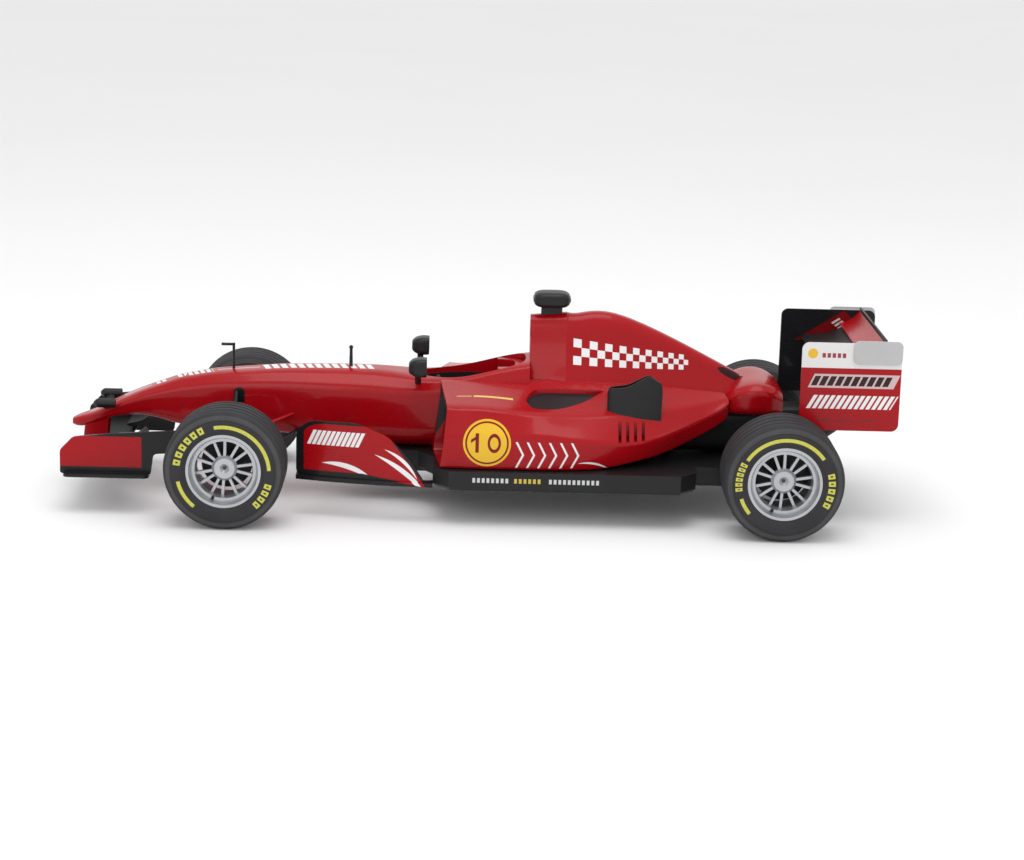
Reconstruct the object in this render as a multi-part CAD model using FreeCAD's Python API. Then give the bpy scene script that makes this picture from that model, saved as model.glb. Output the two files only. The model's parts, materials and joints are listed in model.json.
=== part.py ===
"""Toy open wheel racing car, one tenth of full size, in millimetres.

+X runs to the nose, +Y to the driver's left and +Z up. The origin is on the ground, below the
middle of the car's length and width.
"""

import FreeCAD, Part
import os

V = FreeCAD.Vector
SIDES = (("left", 1), ("right", -1))

# Overall sizes
wheelbase = 305.0
front_overhang = 95.0
rear_overhang = 66.0
overall_width = 180.0
front_axle_x = (wheelbase + rear_overhang - front_overhang) / 2
rear_axle_x = front_axle_x - wheelbase
nose_x = front_axle_x + front_overhang
tail_x = rear_axle_x - rear_overhang
overrun = 40.0
sliver = 0.3

# Wheels
tyre_d = 66.0
tyre_r = tyre_d / 2
front_tyre_w = 33.0
rear_tyre_w = 37.0
tyre_shoulder = 5.0
tyre_bulge = 1.5
rim_r = 20.4
rim_lip_t = 1.5
rim_step_r = 17.4
rim_step_depth = 4.0
dish_r = 15.2
dish_depth = 8.0
barrel_r = 18.2
barrel_floor = 3.0
spoke_pairs = 7
spoke_pair_deg = 22.5
spoke_phase_deg = 49.0
spoke_t = 1.5
spoke_depth = 3.0
spoke_inset = 0.6
hub_r = 7.0
hub_rise = 1.4
hub_face_r = 5.6
boss_r = 4.6
boss_l = 9.0
hub_hole_r = 1.1
hub_hole_mouth_r = 2.6
hub_hole_depth = 1.4
axle_r = 1.5
axle_clearance = 0.05
axle_end_gap = 0.5

# Uprights that carry the wheels
drum_r = 14.0
drum_t = 3.5
drum_gap = 1.2
upright_w = 9.0
upright_h = 27.0
upright_t = 11.0
upright_corner = 2.5

# Floor, plank and diffuser
floor_z = 20.0
floor_t = 11.0
floor_top = floor_z + floor_t
floor_half_w = 69.0
floor_front_x = front_axle_x - 113.0
floor_corner = 9.0
floor_edge = 2.0
tray_front_x = front_axle_x - 58.0
tray_half_w = 19.0
floor_step_x = rear_axle_x + 46.0
floor_rear_x = rear_axle_x + 14.0
floor_tyre_gap = 6.0
floor_rear_half_w = overall_width / 2 - rear_tyre_w - floor_tyre_gap
plank_half_w = 15.0
plank_t = 3.0
plank_z = floor_z - plank_t
plank_inset = 6.0
screw_hole_r = 1.6
screw_hole_depth = 9.0
screw_spacing = 150.0
screw_mid_x = front_axle_x - 163.0
diffuser_t = 1.8
diffuser_rise = 14.0
diffuser_tail_x = rear_axle_x - 30.0
diffuser_tyre_gap = 13.0
diffuser_half_w = overall_width / 2 - rear_tyre_w - diffuser_tyre_gap
strake_count = 4
strake_t = 1.2

# Nose and cockpit tub
belly_z = floor_top
deck_z = 77.0
body_h = deck_z - belly_z
nose_joint_x = front_axle_x + 30.0
nose_half_w = 13.5
tub_half_w = 24.0
seam_x = front_axle_x - 186.5
tub_len = nose_joint_x - seam_x
opening_front_x = front_axle_x - 104.0
opening_rear_x = front_axle_x - 164.0
opening_half_w = 17.5
cockpit_floor_z = 37.0
liner_t = 1.0
liner_drop = 3.0
sill_drop_share = 0.115

# Airbox and engine cover
airbox_front_x = front_axle_x - 166.0
shelf_z = 68.0
airbox_top_z = 108.5
airbox_half_w = 11.0
intake_h = 13.0
intake_half_w = 7.0
intake_depth = 15.0
intake_wall = 2.2
cover_tail_x = rear_axle_x + 4.5
cover_len = seam_x - cover_tail_x
cover_h = airbox_top_z - belly_z
cover_half_w = 22.0
notch_l = 17.0
notch_h = 6.5

# Side pods
pod_front_x = front_axle_x - 122.0
pod_sweep = 8.0
pod_lean_share = 0.6
pod_softness = 0.13
pod_tail_x = rear_axle_x + 26.0
pod_len = pod_front_x - pod_tail_x
pod_half_w = 66.0
pod_top_z = 74.0
pod_h = pod_top_z - floor_top
pod_inner_y = 14.0
pod_wall = 2.0
inlet_depth = 22.0
radiator_t = 3.0
radiator_fins = 9
outlet_front_x = pod_front_x - 41.5
outlet_len = 45.0
outlet_mid_y = 38.0
outlet_half_w = 12.0
outlet_floor_z = 50.0
outlet_sink = 2.5
gill_count = 4
gill_pitch = 4.4
gill_w = 1.8
gill_first_x = pod_front_x - 95.0
gill_low_z = 47.0
gill_h = 12.0
gill_depth = 3.0

# Chimneys
chimney_front_x = pod_front_x - 87.0
chimney_len = 31.0
chimney_y = 43.0
chimney_t = 8.0
chimney_base_z = 50.0
chimney_top_z = 82.0
chimney_h = chimney_top_z - chimney_base_z
chimney_wall = 1.2
chimney_throat = 12.0

# Rear deck, gearbox and crash structure
deck_front_x = rear_axle_x + 28.0
deck_tail_x = rear_axle_x - 4.5
deck_low_z = 54.0
deck_high_z = 75.0
deck_half_w = 30.0
gearbox_front_x = rear_axle_x + 62.0
gearbox_tail_x = rear_axle_x - 12.0
gearbox_half_w = 30.0
gearbox_top_z = 58.0
crash_tail_x = rear_axle_x - 47.0
crash_half_w = 7.0
crash_z = 51.0
crash_h = 8.0
rain_light_l = 3.0
rain_light_w = 9.0
rain_light_h = 6.0

# Mirrors, cameras and masts
mirror_x = front_axle_x - 103.0
mirror_y = 31.0
mirror_z = 81.0
mirror_l = 10.0
mirror_w = 12.0
mirror_h = 10.0
mirror_shell = 1.0
mirror_face_depth = 1.5
mirror_stalk_r = 1.5
mirror_foot_y = 14.0
mirror_foot_z = 66.0
camera_x = front_axle_x - 178.0
camera_l = 20.0
camera_w = 17.0
camera_h = 9.0
camera_z = 111.5
camera_stem_l = 12.0
camera_stem_w = 5.0
nose_camera_x = front_axle_x + 75.0
nose_camera_l = 12.0
nose_camera_r = 2.6
nose_camera_y = 13.5
nose_camera_z = 52.0
pitot_x = front_axle_x + 3.0
pitot_h = 17.0
pitot_r = 0.8
pitot_reach = 7.0
mast_x = front_axle_x - 64.0
mast_h = 8.0
mast_r = 1.2
mast_seat = 8.0

# Cockpit pieces
seat_back_x = front_axle_x - 160.0
seat_front_x = front_axle_x - 116.0
seat_half_w = 13.0
seat_t = 2.5
seat_top_z = 66.0
headrest_t = 5.0
headrest_h = 11.0
headrest_z = 67.0
headrest_arm_l = 16.0
dash_x = front_axle_x - 108.0
dash_t = 3.0
dash_h = 9.0
dash_z = 60.0
wheel_rim_r = 7.5
wheel_grip_r = 1.1
wheel_gap = 8.0
column_r = 1.4
steering_z = 63.0
steering_tilt_deg = 18.0

# Front wing
wing_tyre_gap = 4.5
wing_half_w = overall_width / 2 - front_tyre_w - wing_tyre_gap
wing_nose_x = nose_x - 3.0
wing_chord = 29.0
wing_t = 3.0
wing_z = 26.0
wing_rise = 4.0
wing_centre_drop = 2.5
flap_chord = 22.0
flap_t = 2.0
flap_gap = 2.0
flap_rise = 11.0
flap_inner_y = 17.0
pylon_t = 2.0
pylon_y = 5.0
pylon_l = 13.0
pylon_front_x = nose_x - 6.0
front_plate_t = 1.6
front_plate_z = 20.4
front_plate_top_z = 45.9
front_plate_nose_x = nose_x - 1.0
front_plate_tail_x = front_axle_x + 20.0
front_foot_w = 6.0
front_foot_t = 1.8

# Bargeboards
barge_front_x = front_axle_x - 36.5
barge_tail_x = front_axle_x - 110.0
barge_len = barge_front_x - barge_tail_x
barge_low_z = 20.0
barge_top_z = 55.0
barge_h = barge_top_z - barge_low_z
barge_t = 1.6
barge_front_y = 47.0
barge_tail_y = 60.0
barge_bow = 5.0
barge_foot_w = 7.0
barge_foot_t = 2.4
barge_stay_w = 5.0
barge_stay_t = 1.4
barge_stay_z = 44.0

# Rear wing
plate_tyre_gap = 2.2
plate_half_span = overall_width / 2 - rear_tyre_w - plate_tyre_gap
plate_t = 1.6
plate_front_x = rear_axle_x - 10.5
plate_low_z = 55.0
plate_top_z = 104.5
plate_corner = 4.0
main_chord = 24.0
main_t = 3.6
main_z = 87.0
main_rise = 7.0
main_front_gap = 12.0
top_flap_chord = 12.0
top_flap_t = 2.2
top_flap_rise = 9.0
top_flap_gap = 1.6
beam_chord = 18.0
beam_t = 2.6
beam_z = 60.0
beam_rise = 3.0
beam_front_gap = 14.0
panel_l = 27.0
panel_h = 13.0
panel_t = 1.2
panel_top_over = 1.5
panel_corner = 3.0

# Suspension arms
arm_w = 3.4
arm_t = 1.9
pushrod_w = 2.6
pushrod_t = 2.0
upper_arm_rise = 9.5
lower_arm_drop = 9.5
front_arm_spread_front = 9.0
front_arm_spread_rear = 36.5
front_upper_root_z = 50.5
front_lower_root_z = 40.0
front_root_y = 12.0
front_pushrod_root_z = 64.5
rear_arm_spread = 17.0
rear_upper_root_z = 46.0
rear_lower_root_z = 34.0
rear_lower_arm_drop = 5.0
rear_root_y = 5.0
shaft_r = 1.7
shaft_rise = 2.0

# Cross sections of the bodywork, as shares of half width and height, going round from the belly
tub_ring_shares = (
    (-0.55, 0.0), (0.55, 0.0), (0.95, 0.22), (1.0, 0.80),
    (0.80, 1.0), (-0.80, 1.0), (-1.0, 0.80), (-0.95, 0.22),
)
arch_ring_shares = (
    (-1.0, 0.0), (1.0, 0.0), (1.0, 0.45), (0.55, 0.72),
    (0.30, 1.0), (-0.30, 1.0), (-0.55, 0.72), (-1.0, 0.45),
)
ring_softness = 0.42
tub_softness = 0.30

# Stations of the nose: along it from the joint, belly and top as shares of the body's height
# above the tub's belly, half width as a share, and the share left to the flat top
nose_stations_shares = (
    (0.00, 0.160, 0.783, 1.00, 0.74),
    (0.10, 0.190, 0.743, 0.97, 0.75),
    (0.20, 0.235, 0.693, 0.94, 0.76),
    (0.40, 0.280, 0.585, 0.87, 0.78),
    (0.60, 0.250, 0.457, 0.79, 0.80),
    (0.80, 0.165, 0.311, 0.66, 0.85),
    (0.94, 0.100, 0.235, 0.46, 0.90),
    (1.00, 0.125, 0.200, 0.24, 0.95),
)
# Stations of the tub: along it from the nose joint to the seam
tub_stations_shares = (
    (0.000, 0.160, 0.783, 0.5625, 0.74),
    (0.030, 0.155, 0.811, 0.585, 0.74),
    (0.080, 0.145, 0.850, 0.62, 0.77),
    (0.140, 0.130, 0.876, 0.66, 0.76),
    (0.290, 0.090, 0.926, 0.75, 0.70),
    (0.430, 0.020, 0.937, 0.83, 0.66),
    (0.500, 0.004, 0.933, 0.865, 0.66),
    (0.560, -0.012, 0.913, 0.90, 0.72),
    (0.640, -0.012, 0.885, 0.93, 0.95),
    (0.720, -0.012, 0.920, 0.96, 1.0),
    (0.790, -0.012, 1.000, 0.98, 1.0),
    (0.870, -0.012, 1.085, 0.98, 1.0),
    (0.930, -0.012, 1.130, 0.95, 1.0),
    (1.000, -0.012, 1.130, 0.917, 1.0),
)
# Stations of the engine cover: along it from the seam, belly and spine as shares of its height,
# half width and half width of the spine as shares
cover_stations_shares = (
    (0.00, 0.000, 1.000, 1.00),
    (0.20, 0.000, 1.010, 0.96),
    (0.36, 0.000, 0.940, 0.90),
    (0.60, 0.060, 0.780, 0.74),
    (0.80, 0.220, 0.630, 0.56),
    (1.00, 0.400, 0.485, 0.30),
)
# Stations of a side pod: along it from the inlet, then outer foot, lip and shoulder
pod_stations_shares = (
    (0.00, -0.02, 0.95, 0.975, 0.40, 0.91, 0.80, 0.95),
    (0.12, -0.02, 0.97, 0.985, 0.45, 0.92, 0.79, 0.97),
    (0.33, -0.02, 0.97, 1.000, 0.46, 0.86, 0.70, 1.00),
    (0.48, -0.02, 0.93, 0.985, 0.41, 0.78, 0.68, 1.00),
    (0.67, 0.06, 0.78, 0.860, 0.36, 0.67, 0.69, 0.98),
    (0.85, 0.22, 0.50, 0.600, 0.49, 0.49, 0.72, 0.91),
    (1.00, 0.54, 0.34, 0.375, 0.74, 0.31, 0.80, 0.83),
)
# Side wall of a tyre: inset as a share of the shoulder, height as a share of the wall
tyre_side_shares = (
    (0.10, 0.12), (0.0, 0.32), (0.0, 0.56), (0.10, 0.76), (0.26, 0.87), (0.56, 0.95), (1.0, 1.0),
)
# Outline of a front endplate, back along it from the nose and up from its foot
front_plate_outline_shares = (
    (0.00, 0.00), (0.00, 0.55), (0.10, 0.85), (0.45, 0.95),
    (1.00, 1.05), (1.00, 0.55), (0.70, 0.50), (0.676, 0.00),
)
# Outline of a bargeboard, along it from the front and up from its foot
barge_outline_shares = (
    (0.00, 0.00), (0.00, 0.80), (0.12, 0.96), (0.46, 0.97),
    (0.70, 0.78), (0.86, 0.45), (1.00, 0.00),
)
# Side outline of a chimney, back from its front and up from its base
chimney_outline_shares = (
    (0.02, 0.0), (0.0, 0.76), (0.36, 0.80), (0.74, 1.0), (1.0, 0.84), (0.98, 0.0),
)
# Plan of a side pod's outlet, back from its round front, across as shares of its half width
outlet_outline_shares = (
    (0.00, 0.35), (0.06, 0.95), (0.14, 1.1), (0.40, 0.9), (0.74, 0.05), (0.93, -0.72),
    (1.00, -0.98), (0.90, -0.97), (0.14, -0.85), (0.04, -0.2),
)
# Plan of the cockpit's opening, back from its front, across as shares of its half width
opening_outline_shares = (
    (0.00, 0.45), (0.30, 0.95), (0.80, 1.00), (1.00, 0.72),
    (1.00, -0.72), (0.80, -1.00), (0.30, -0.95), (0.00, -0.45),
)


def mirrored(shape):
    return shape.mirror(V(0, 0, 0), V(0, 1, 0))


def on_side(shape, side):
    return shape if side > 0 else mirrored(shape)


def box(low, high):
    size = high - low
    return Part.makeBox(size.x, size.y, size.z, low)


def bent_edge(poles):
    curve = Part.BezierCurve()
    curve.setPoles(poles)
    return curve.toShape()


def soft_ring(points, softness):
    """Closed wire round the points, with each corner eased by a share of the sides beside it."""
    count = len(points)
    starts = []
    ends = []
    for i, corner in enumerate(points):
        starts.append(corner + (points[i - 1] - corner) * softness)
        ends.append(corner + (points[(i + 1) % count] - corner) * softness)
    edges = []
    for i, corner in enumerate(points):
        edges.append(bent_edge([starts[i], corner, ends[i]]))
        edges.append(Part.makeLine(ends[i], starts[(i + 1) % count]))
    return Part.Wire(edges)


def sharp_ring(points):
    return Part.makePolygon(list(points) + [points[0]])


def prism(wire, reach):
    return Part.Face(wire).extrude(reach)


def loft(rings):
    return Part.makeLoft(rings, True, False)


def slope_at(rows, i, column):
    """Slope of one column at a station, level where the values turn back."""
    if i in (0, len(rows) - 1):
        near, far = (rows[0], rows[1]) if i == 0 else (rows[-2], rows[-1])
        return (far[column] - near[column]) / (far[0] - near[0])
    before, here, after = rows[i - 1 : i + 2]
    rise = (here[column] - before[column]) / (here[0] - before[0])
    next_rise = (after[column] - here[column]) / (after[0] - here[0])
    if rise * next_rise <= 0:
        return 0
    return 2 * rise * next_rise / (rise + next_rise)


def spread(rows, count):
    """Stations at even steps, on smooth curves through the given ones that never overshoot."""
    spread_rows = []
    for step in range(count):
        along = step / (count - 1)
        i = max(k for k in range(len(rows) - 1) if rows[k][0] <= along or k == 0)
        gap = rows[i + 1][0] - rows[i][0]
        t = (along - rows[i][0]) / gap
        row = [along]
        for column in range(1, len(rows[0])):
            low, high = rows[i][column], rows[i + 1][column]
            pull = gap * slope_at(rows, i, column)
            push = gap * slope_at(rows, i + 1, column)
            bend = (t - 1) ** 2 * (pull * t + low * (1 + 2 * t))
            row.append(bend + t**2 * (high * (3 - 2 * t) + push * (t - 1)))
        spread_rows.append(row)
    return spread_rows


def body_ring(x, low_z, high_z, half_w, ring_shares, crown=1):
    """Section square to X; the crown narrows the flat along its top."""
    points = []
    for y, z in ring_shares:
        across = half_w * y * (crown if z == 1 else 1)
        points.append(V(x, across, low_z + (high_z - low_z) * z))
    return soft_ring(points, tub_softness if ring_shares == tub_ring_shares else ring_softness)


def solid_of(shape):
    """The shape as one solid, or as a compound where it has several."""
    solids = shape.Solids
    return solids[0] if len(solids) == 1 else Part.makeCompound(solids)


def turned(profile):
    """Solid turned about the wheel's axis from (distance across, radius) points."""
    points = [V(0, across, radius) for across, radius in profile]
    return Part.Face(sharp_ring(points)).revolve(V(0, 0, 0), V(0, 1, 0), 360)


def flat_bar(start, end, width, thickness):
    """Streamlined bar between two points, its width along X as far as its run allows."""
    run = end - start
    side = V(1, 0, 0) - run * (run.x / run.dot(run))
    side.normalize()
    rise = run.cross(side)
    rise.normalize()
    half_w = side * (width / 2)
    half_t = rise * (thickness / 2)
    ring = [start + half_w, start + half_t, start - half_w, start - half_t]
    return prism(soft_ring(ring, ring_softness), run)


def tyre(width):
    """Ring with a flat tread, rounded shoulders and a bulged side wall."""
    outer = overall_width / 2
    inner = outer - width
    side = [(tyre_bulge, rim_r)]
    for inset, rise in tyre_side_shares:
        side.append((tyre_shoulder * inset, rim_r + (tyre_r - rim_r) * rise))
    profile = [(outer - inset, radius) for inset, radius in side]
    profile += [(inner + inset, radius) for inset, radius in reversed(side)]
    return turned(profile)


def rim(width):
    """Deep dished rim: rolled lip, step, open spokes in pairs and a raised hub with a bored boss."""
    outer = overall_width / 2
    lip = outer - tyre_bulge
    back = outer - width + tyre_bulge
    step = lip - rim_step_depth
    dish = lip - dish_depth
    behind = dish - spoke_depth
    barrel = [
        (back, rim_r), (lip, rim_r), (lip, rim_r - rim_lip_t),
        (step, rim_step_r), (step, rim_step_r - rim_lip_t), (dish, dish_r),
        (behind, dish_r), (behind - barrel_floor, barrel_r), (back, barrel_r),
    ]
    hub_face = dish + hub_rise
    bore_r = axle_r + axle_clearance
    bore_end = dish - hub_hole_depth
    hub_floor = dish - hub_hole_depth / 2
    hub = [
        (bore_end, 0), (bore_end, bore_r), (behind - boss_l, bore_r), (behind - boss_l, boss_r),
        (behind, boss_r), (behind, hub_r), (dish, hub_r), (hub_face, hub_face_r),
        (hub_face, hub_hole_mouth_r), (hub_face - hub_hole_depth, hub_hole_r),
        (hub_floor, hub_hole_r), (hub_floor, 0),
    ]
    wheel = turned(barrel).fuse(turned(hub))
    low = V(-spoke_t / 2, behind + spoke_inset, hub_r - hub_rise)
    high = V(spoke_t / 2, dish, dish_r + rim_lip_t / 2)
    spoke = box(low, high)
    spokes = []
    for pair in range(spoke_pairs):
        middle = 90 - spoke_phase_deg + pair * 360 / spoke_pairs
        for turn in (-spoke_pair_deg / 2, spoke_pair_deg / 2):
            one = spoke.copy()
            one.rotate(V(0, 0, 0), V(0, 1, 0), -(middle + turn))
            spokes.append(one)
    return wheel.fuse(spokes).removeSplitter()


def upright():
    """Knuckle block with a round back plate, bored for the stub axle."""
    boss_back = overall_width / 2 - tyre_bulge - dish_depth - spoke_depth - boss_l
    plate_face = boss_back - drum_gap
    plate = Part.makeCylinder(drum_r, drum_t, V(0, plate_face - drum_t, 0), V(0, 1, 0))
    corners = []
    for x_share, z_share in ((-1, -1), (1, -1), (1, 1), (-1, 1)):
        corners.append(V(upright_w / 2 * x_share, plate_face - drum_t, upright_h / 2 * z_share))
    block = prism(soft_ring(corners, upright_corner / upright_w), V(0, -upright_t, 0))
    bore = Part.makeCylinder(axle_r, drum_t + upright_t, V(0, plate_face, 0), V(0, -1, 0))
    return plate.fuse(block).cut(bore).removeSplitter()


def stub_axle():
    lip = overall_width / 2 - tyre_bulge
    end = lip - dish_depth - hub_hole_depth - axle_end_gap
    boss_back = lip - dish_depth - spoke_depth - boss_l
    start = boss_back - drum_gap - drum_t - upright_t
    return Part.makeCylinder(axle_r, end - start, V(0, start, 0), V(0, 1, 0))


def upright_inner_y():
    boss_back = overall_width / 2 - tyre_bulge - dish_depth - spoke_depth - boss_l
    return boss_back - drum_gap - drum_t - upright_t


def floor_pan():
    half = (
        V(tray_front_x, tray_half_w - floor_corner, 0),
        V(tray_front_x - floor_corner, tray_half_w, 0),
        V(floor_front_x + floor_corner, tray_half_w + floor_corner / 2, 0),
        V(floor_front_x, tray_half_w + floor_corner * 2, 0),
        V(floor_front_x, floor_half_w - floor_corner, 0),
        V(floor_front_x - floor_corner, floor_half_w, 0),
        V(floor_step_x + floor_corner, floor_half_w, 0),
        V(floor_step_x, floor_half_w - floor_corner, 0),
        V(floor_step_x, floor_rear_half_w, 0),
        V(floor_rear_x, floor_rear_half_w, 0),
    )
    ring = list(half) + [V(p.x, -p.y, 0) for p in reversed(half)]
    pan = prism(sharp_ring([p + V(0, 0, floor_z) for p in ring]), V(0, 0, floor_t))
    low_edges = []
    for edge in pan.Edges:
        middle = edge.CenterOfMass
        if abs(middle.z - floor_z) < sliver and middle.x > floor_rear_x + sliver:
            low_edges.append(edge)
    pan = pan.makeChamfer(floor_edge, low_edges)
    plank_low = V(floor_rear_x + plank_inset, -plank_half_w, plank_z)
    plank = box(plank_low, V(tray_front_x - floor_corner, plank_half_w, floor_z))
    pan = pan.fuse(plank)
    for shift in (-screw_spacing / 2, screw_spacing / 2):
        hole = Part.makeCylinder(screw_hole_r, screw_hole_depth, V(screw_mid_x + shift, 0, plank_z))
        pan = pan.cut(hole)
    return pan.removeSplitter()


def diffuser():
    """Upswept plate with strakes under it, starting at the floor's rear edge."""
    half_w = diffuser_half_w
    top_front = V(floor_rear_x, -half_w, floor_z + diffuser_t)
    profile = [
        V(floor_rear_x, -half_w, floor_z), top_front,
        V(diffuser_tail_x, -half_w, floor_z + diffuser_rise + diffuser_t),
        V(diffuser_tail_x, -half_w, floor_z + diffuser_rise),
    ]
    ramp = prism(sharp_ring(profile), V(0, half_w * 2, 0))
    strakes = []
    wedge = [
        V(floor_rear_x, 0, floor_z), V(diffuser_tail_x, 0, floor_z + diffuser_rise),
        V(diffuser_tail_x, 0, floor_z),
    ]
    pitch = (half_w * 2 - strake_t) / (strake_count - 1)
    for i in range(strake_count):
        strake = prism(sharp_ring(wedge), V(0, strake_t, 0))
        strake.translate(V(0, -half_w + i * pitch, 0))
        strakes.append(strake)
    return ramp.fuse(strakes).removeSplitter()


def nose_cone():
    rings = []
    reach = nose_x - nose_joint_x
    for along, low, high, half, crown in spread(nose_stations_shares, 9):
        x = nose_joint_x + reach * along
        low_z = belly_z + body_h * low
        high_z = belly_z + body_h * high
        rings.append(body_ring(x, low_z, high_z, nose_half_w * half, tub_ring_shares, crown))
    return loft(rings)


def opening_prism(inset, low_z, high_z):
    start_x = opening_front_x - inset
    length = start_x - opening_rear_x - inset
    points = []
    for back, across in opening_outline_shares:
        points.append(V(start_x - length * back, (opening_half_w - inset) * across, low_z))
    return prism(soft_ring(points, ring_softness), V(0, 0, high_z - low_z))


def tub_loft():
    """The tub before its cockpit is opened; its shoulders end at the roll hoop."""
    rings = []
    for along, low, high, half, crown in spread(tub_stations_shares, 17):
        x = nose_joint_x - tub_len * along
        low_z = belly_z + body_h * low
        high_z = belly_z + body_h * high
        rings.append(body_ring(x, low_z, high_z, tub_half_w * half, tub_ring_shares, crown))
    behind = box(V(seam_x - overrun, -overrun, shelf_z), V(airbox_front_x, overrun, deck_z + overrun))
    return loft(rings).cut(behind)


def cockpit_liner():
    """Thin dark bucket that lines the cockpit."""
    top = liner_top()
    bucket = opening_prism(0, cockpit_floor_z - liner_t, top)
    hollow = opening_prism(liner_t, cockpit_floor_z, top + overrun)
    return bucket.cut(hollow)


def liner_top():
    return deck_z - body_h * sill_drop_share - liner_drop


def seat(liner):
    """Reclined bucket: a bent sheet with raised sides."""
    run = seat_front_x - seat_back_x
    low = cockpit_floor_z
    high = seat_top_z
    middle_x = seat_back_x + run / 2
    sheet = [
        V(seat_front_x, 0, low), V(middle_x, 0, low),
        V(seat_back_x + seat_t, 0, low + seat_t * 2), V(seat_back_x, 0, high),
        V(seat_back_x + seat_t, 0, high), V(seat_back_x + seat_t * 2, 0, low + seat_t * 4),
        V(middle_x, 0, low + seat_t), V(seat_front_x, 0, low + seat_t),
    ]
    shell = prism(sharp_ring(sheet), V(0, seat_half_w * 2, 0))
    shell.translate(V(0, -seat_half_w, 0))
    rail = sharp_ring([
        V(seat_front_x - run / 4, 0, low), V(seat_back_x + seat_t, 0, low),
        V(seat_back_x + seat_t, 0, high - seat_t * 2), V(middle_x, 0, low + run / 4),
    ])
    for y in (-seat_half_w, seat_half_w - seat_t):
        side = prism(rail, V(0, seat_t, 0))
        side.translate(V(0, y, 0))
        shell = shell.fuse(side)
    return outer_solid(shell.cut(liner).removeSplitter())


def headrest():
    """Horseshoe pad round the back of the opening."""
    top = headrest_z + headrest_h
    ring = opening_prism(liner_t, headrest_z, top)
    inner = opening_prism(liner_t + headrest_t, headrest_z - overrun, top + overrun)
    front = opening_rear_x + headrest_arm_l
    keep = box(V(opening_rear_x - overrun, -tub_half_w, headrest_z), V(front, tub_half_w, top))
    return ring.cut(inner).common(keep)


def dashboard():
    low = V(dash_x, -opening_half_w, dash_z)
    block = box(low, V(dash_x + dash_t, opening_half_w, dash_z + dash_h))
    return block.common(opening_prism(liner_t, cockpit_floor_z, deck_z + overrun))


def steering_wheel():
    """Flat bottomed grip ring with a boss, on a column from the dashboard."""
    centre = V(0, 0, 0)
    ring = Part.makeTorus(wheel_rim_r - wheel_grip_r, wheel_grip_r, centre, V(1, 0, 0))
    back = V(-wheel_grip_r, 0, 0)
    boss = Part.makeCylinder(wheel_rim_r / 3, wheel_grip_r * 2, back, V(1, 0, 0))
    corner = V(wheel_grip_r / 2, wheel_rim_r - wheel_grip_r, wheel_grip_r)
    bar = box(corner * -1, corner)
    column = Part.makeCylinder(column_r, wheel_gap + overrun, V(0, 0, 0), V(1, 0, 0))
    wheel = ring.fuse([boss, bar, column])
    wheel.rotate(V(0, 0, 0), V(0, 1, 0), steering_tilt_deg)
    wheel.translate(V(dash_x - wheel_gap, 0, steering_z))
    stop = box(V(dash_x, -overrun, 0), V(dash_x + overrun * 2, overrun, deck_z + overrun))
    return wheel.cut(stop)


def airbox_loft():
    low = belly_z
    front = body_ring(airbox_front_x, low, airbox_top_z - sliver * 6, airbox_half_w * 1.6, arch_ring_shares)
    back = body_ring(seam_x, low, airbox_top_z, cover_half_w, arch_ring_shares)
    return loft([front, back])


def airbox(tub):
    """Roll hoop with the air intake, standing on the tub."""
    hoop = airbox_loft().cut(tub)
    top = airbox_top_z - intake_wall
    half = [(0.75, top - intake_h), (0.62, top - intake_h / 2), (0.30, top - intake_wall)]
    mouth = [V(airbox_front_x, intake_half_w * across, z) for across, z in half]
    mouth += [V(airbox_front_x, -intake_half_w * across, z) for across, z in reversed(half)]
    throat = prism(soft_ring(mouth, ring_softness), V(-intake_depth, 0, 0))
    return outer_solid(hoop.cut(throat))


def engine_cover_loft():
    rings = []
    for along, low, high, half in spread(cover_stations_shares, 11):
        x = seam_x - cover_len * along
        low_z = belly_z + cover_h * low
        high_z = belly_z + cover_h * high
        rings.append(body_ring(x, low_z, high_z, cover_half_w * half, arch_ring_shares))
    return loft(rings)


def engine_cover(blank):
    """The cover with the notch under its spine's tail."""
    tail_z = belly_z + cover_h * cover_stations_shares[-1][2]
    notch = [
        V(cover_tail_x - overrun, 0, tail_z + notch_h), V(cover_tail_x + notch_l, 0, tail_z + notch_h),
        V(cover_tail_x - overrun, 0, tail_z - notch_h / 2),
    ]
    cut = prism(sharp_ring(notch), V(0, cover_half_w * 2, 0))
    cut.translate(V(0, -cover_half_w, 0))
    return solid_of(blank.cut(cut))


def swept_ring(x, sweep, inner, wall, shares):
    """Section of a side pod inside its skin by a wall, its inner and lower edges to the front."""
    low, foot_y, lip_y, lip_z, shoulder_y, shoulder_z, top = shares
    base = floor_top + pod_h * low + wall
    across = [
        (inner, base), (pod_half_w * foot_y - wall, base),
        (pod_half_w * lip_y - wall, floor_top + pod_h * lip_z),
        (pod_half_w * shoulder_y - wall, floor_top + pod_h * shoulder_z - wall),
        (inner, floor_top + pod_h * top - wall * 2),
    ]
    points = []
    for y, z in across:
        lean = pod_lean_share * (1 - (z - floor_top) / pod_h)
        points.append(V(x + sweep * (1 - y / pod_half_w + lean), y, z))
    return soft_ring(points, pod_softness)


def pod_loft(pan):
    rings = []
    for row in spread(pod_stations_shares, 12):
        sweep = pod_sweep * (1 - row[0])
        rings.append(swept_ring(pod_front_x - pod_len * row[0], sweep, pod_inner_y, 0, row[1:]))
    return loft(rings).cut(pan)


def outlet_prism(low_z, high_z):
    points = []
    for back, across in outlet_outline_shares:
        x = outlet_front_x - outlet_len * back
        points.append(V(x, outlet_mid_y + outlet_half_w * across, low_z))
    return prism(soft_ring(points, ring_softness), V(0, 0, high_z - low_z))


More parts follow.
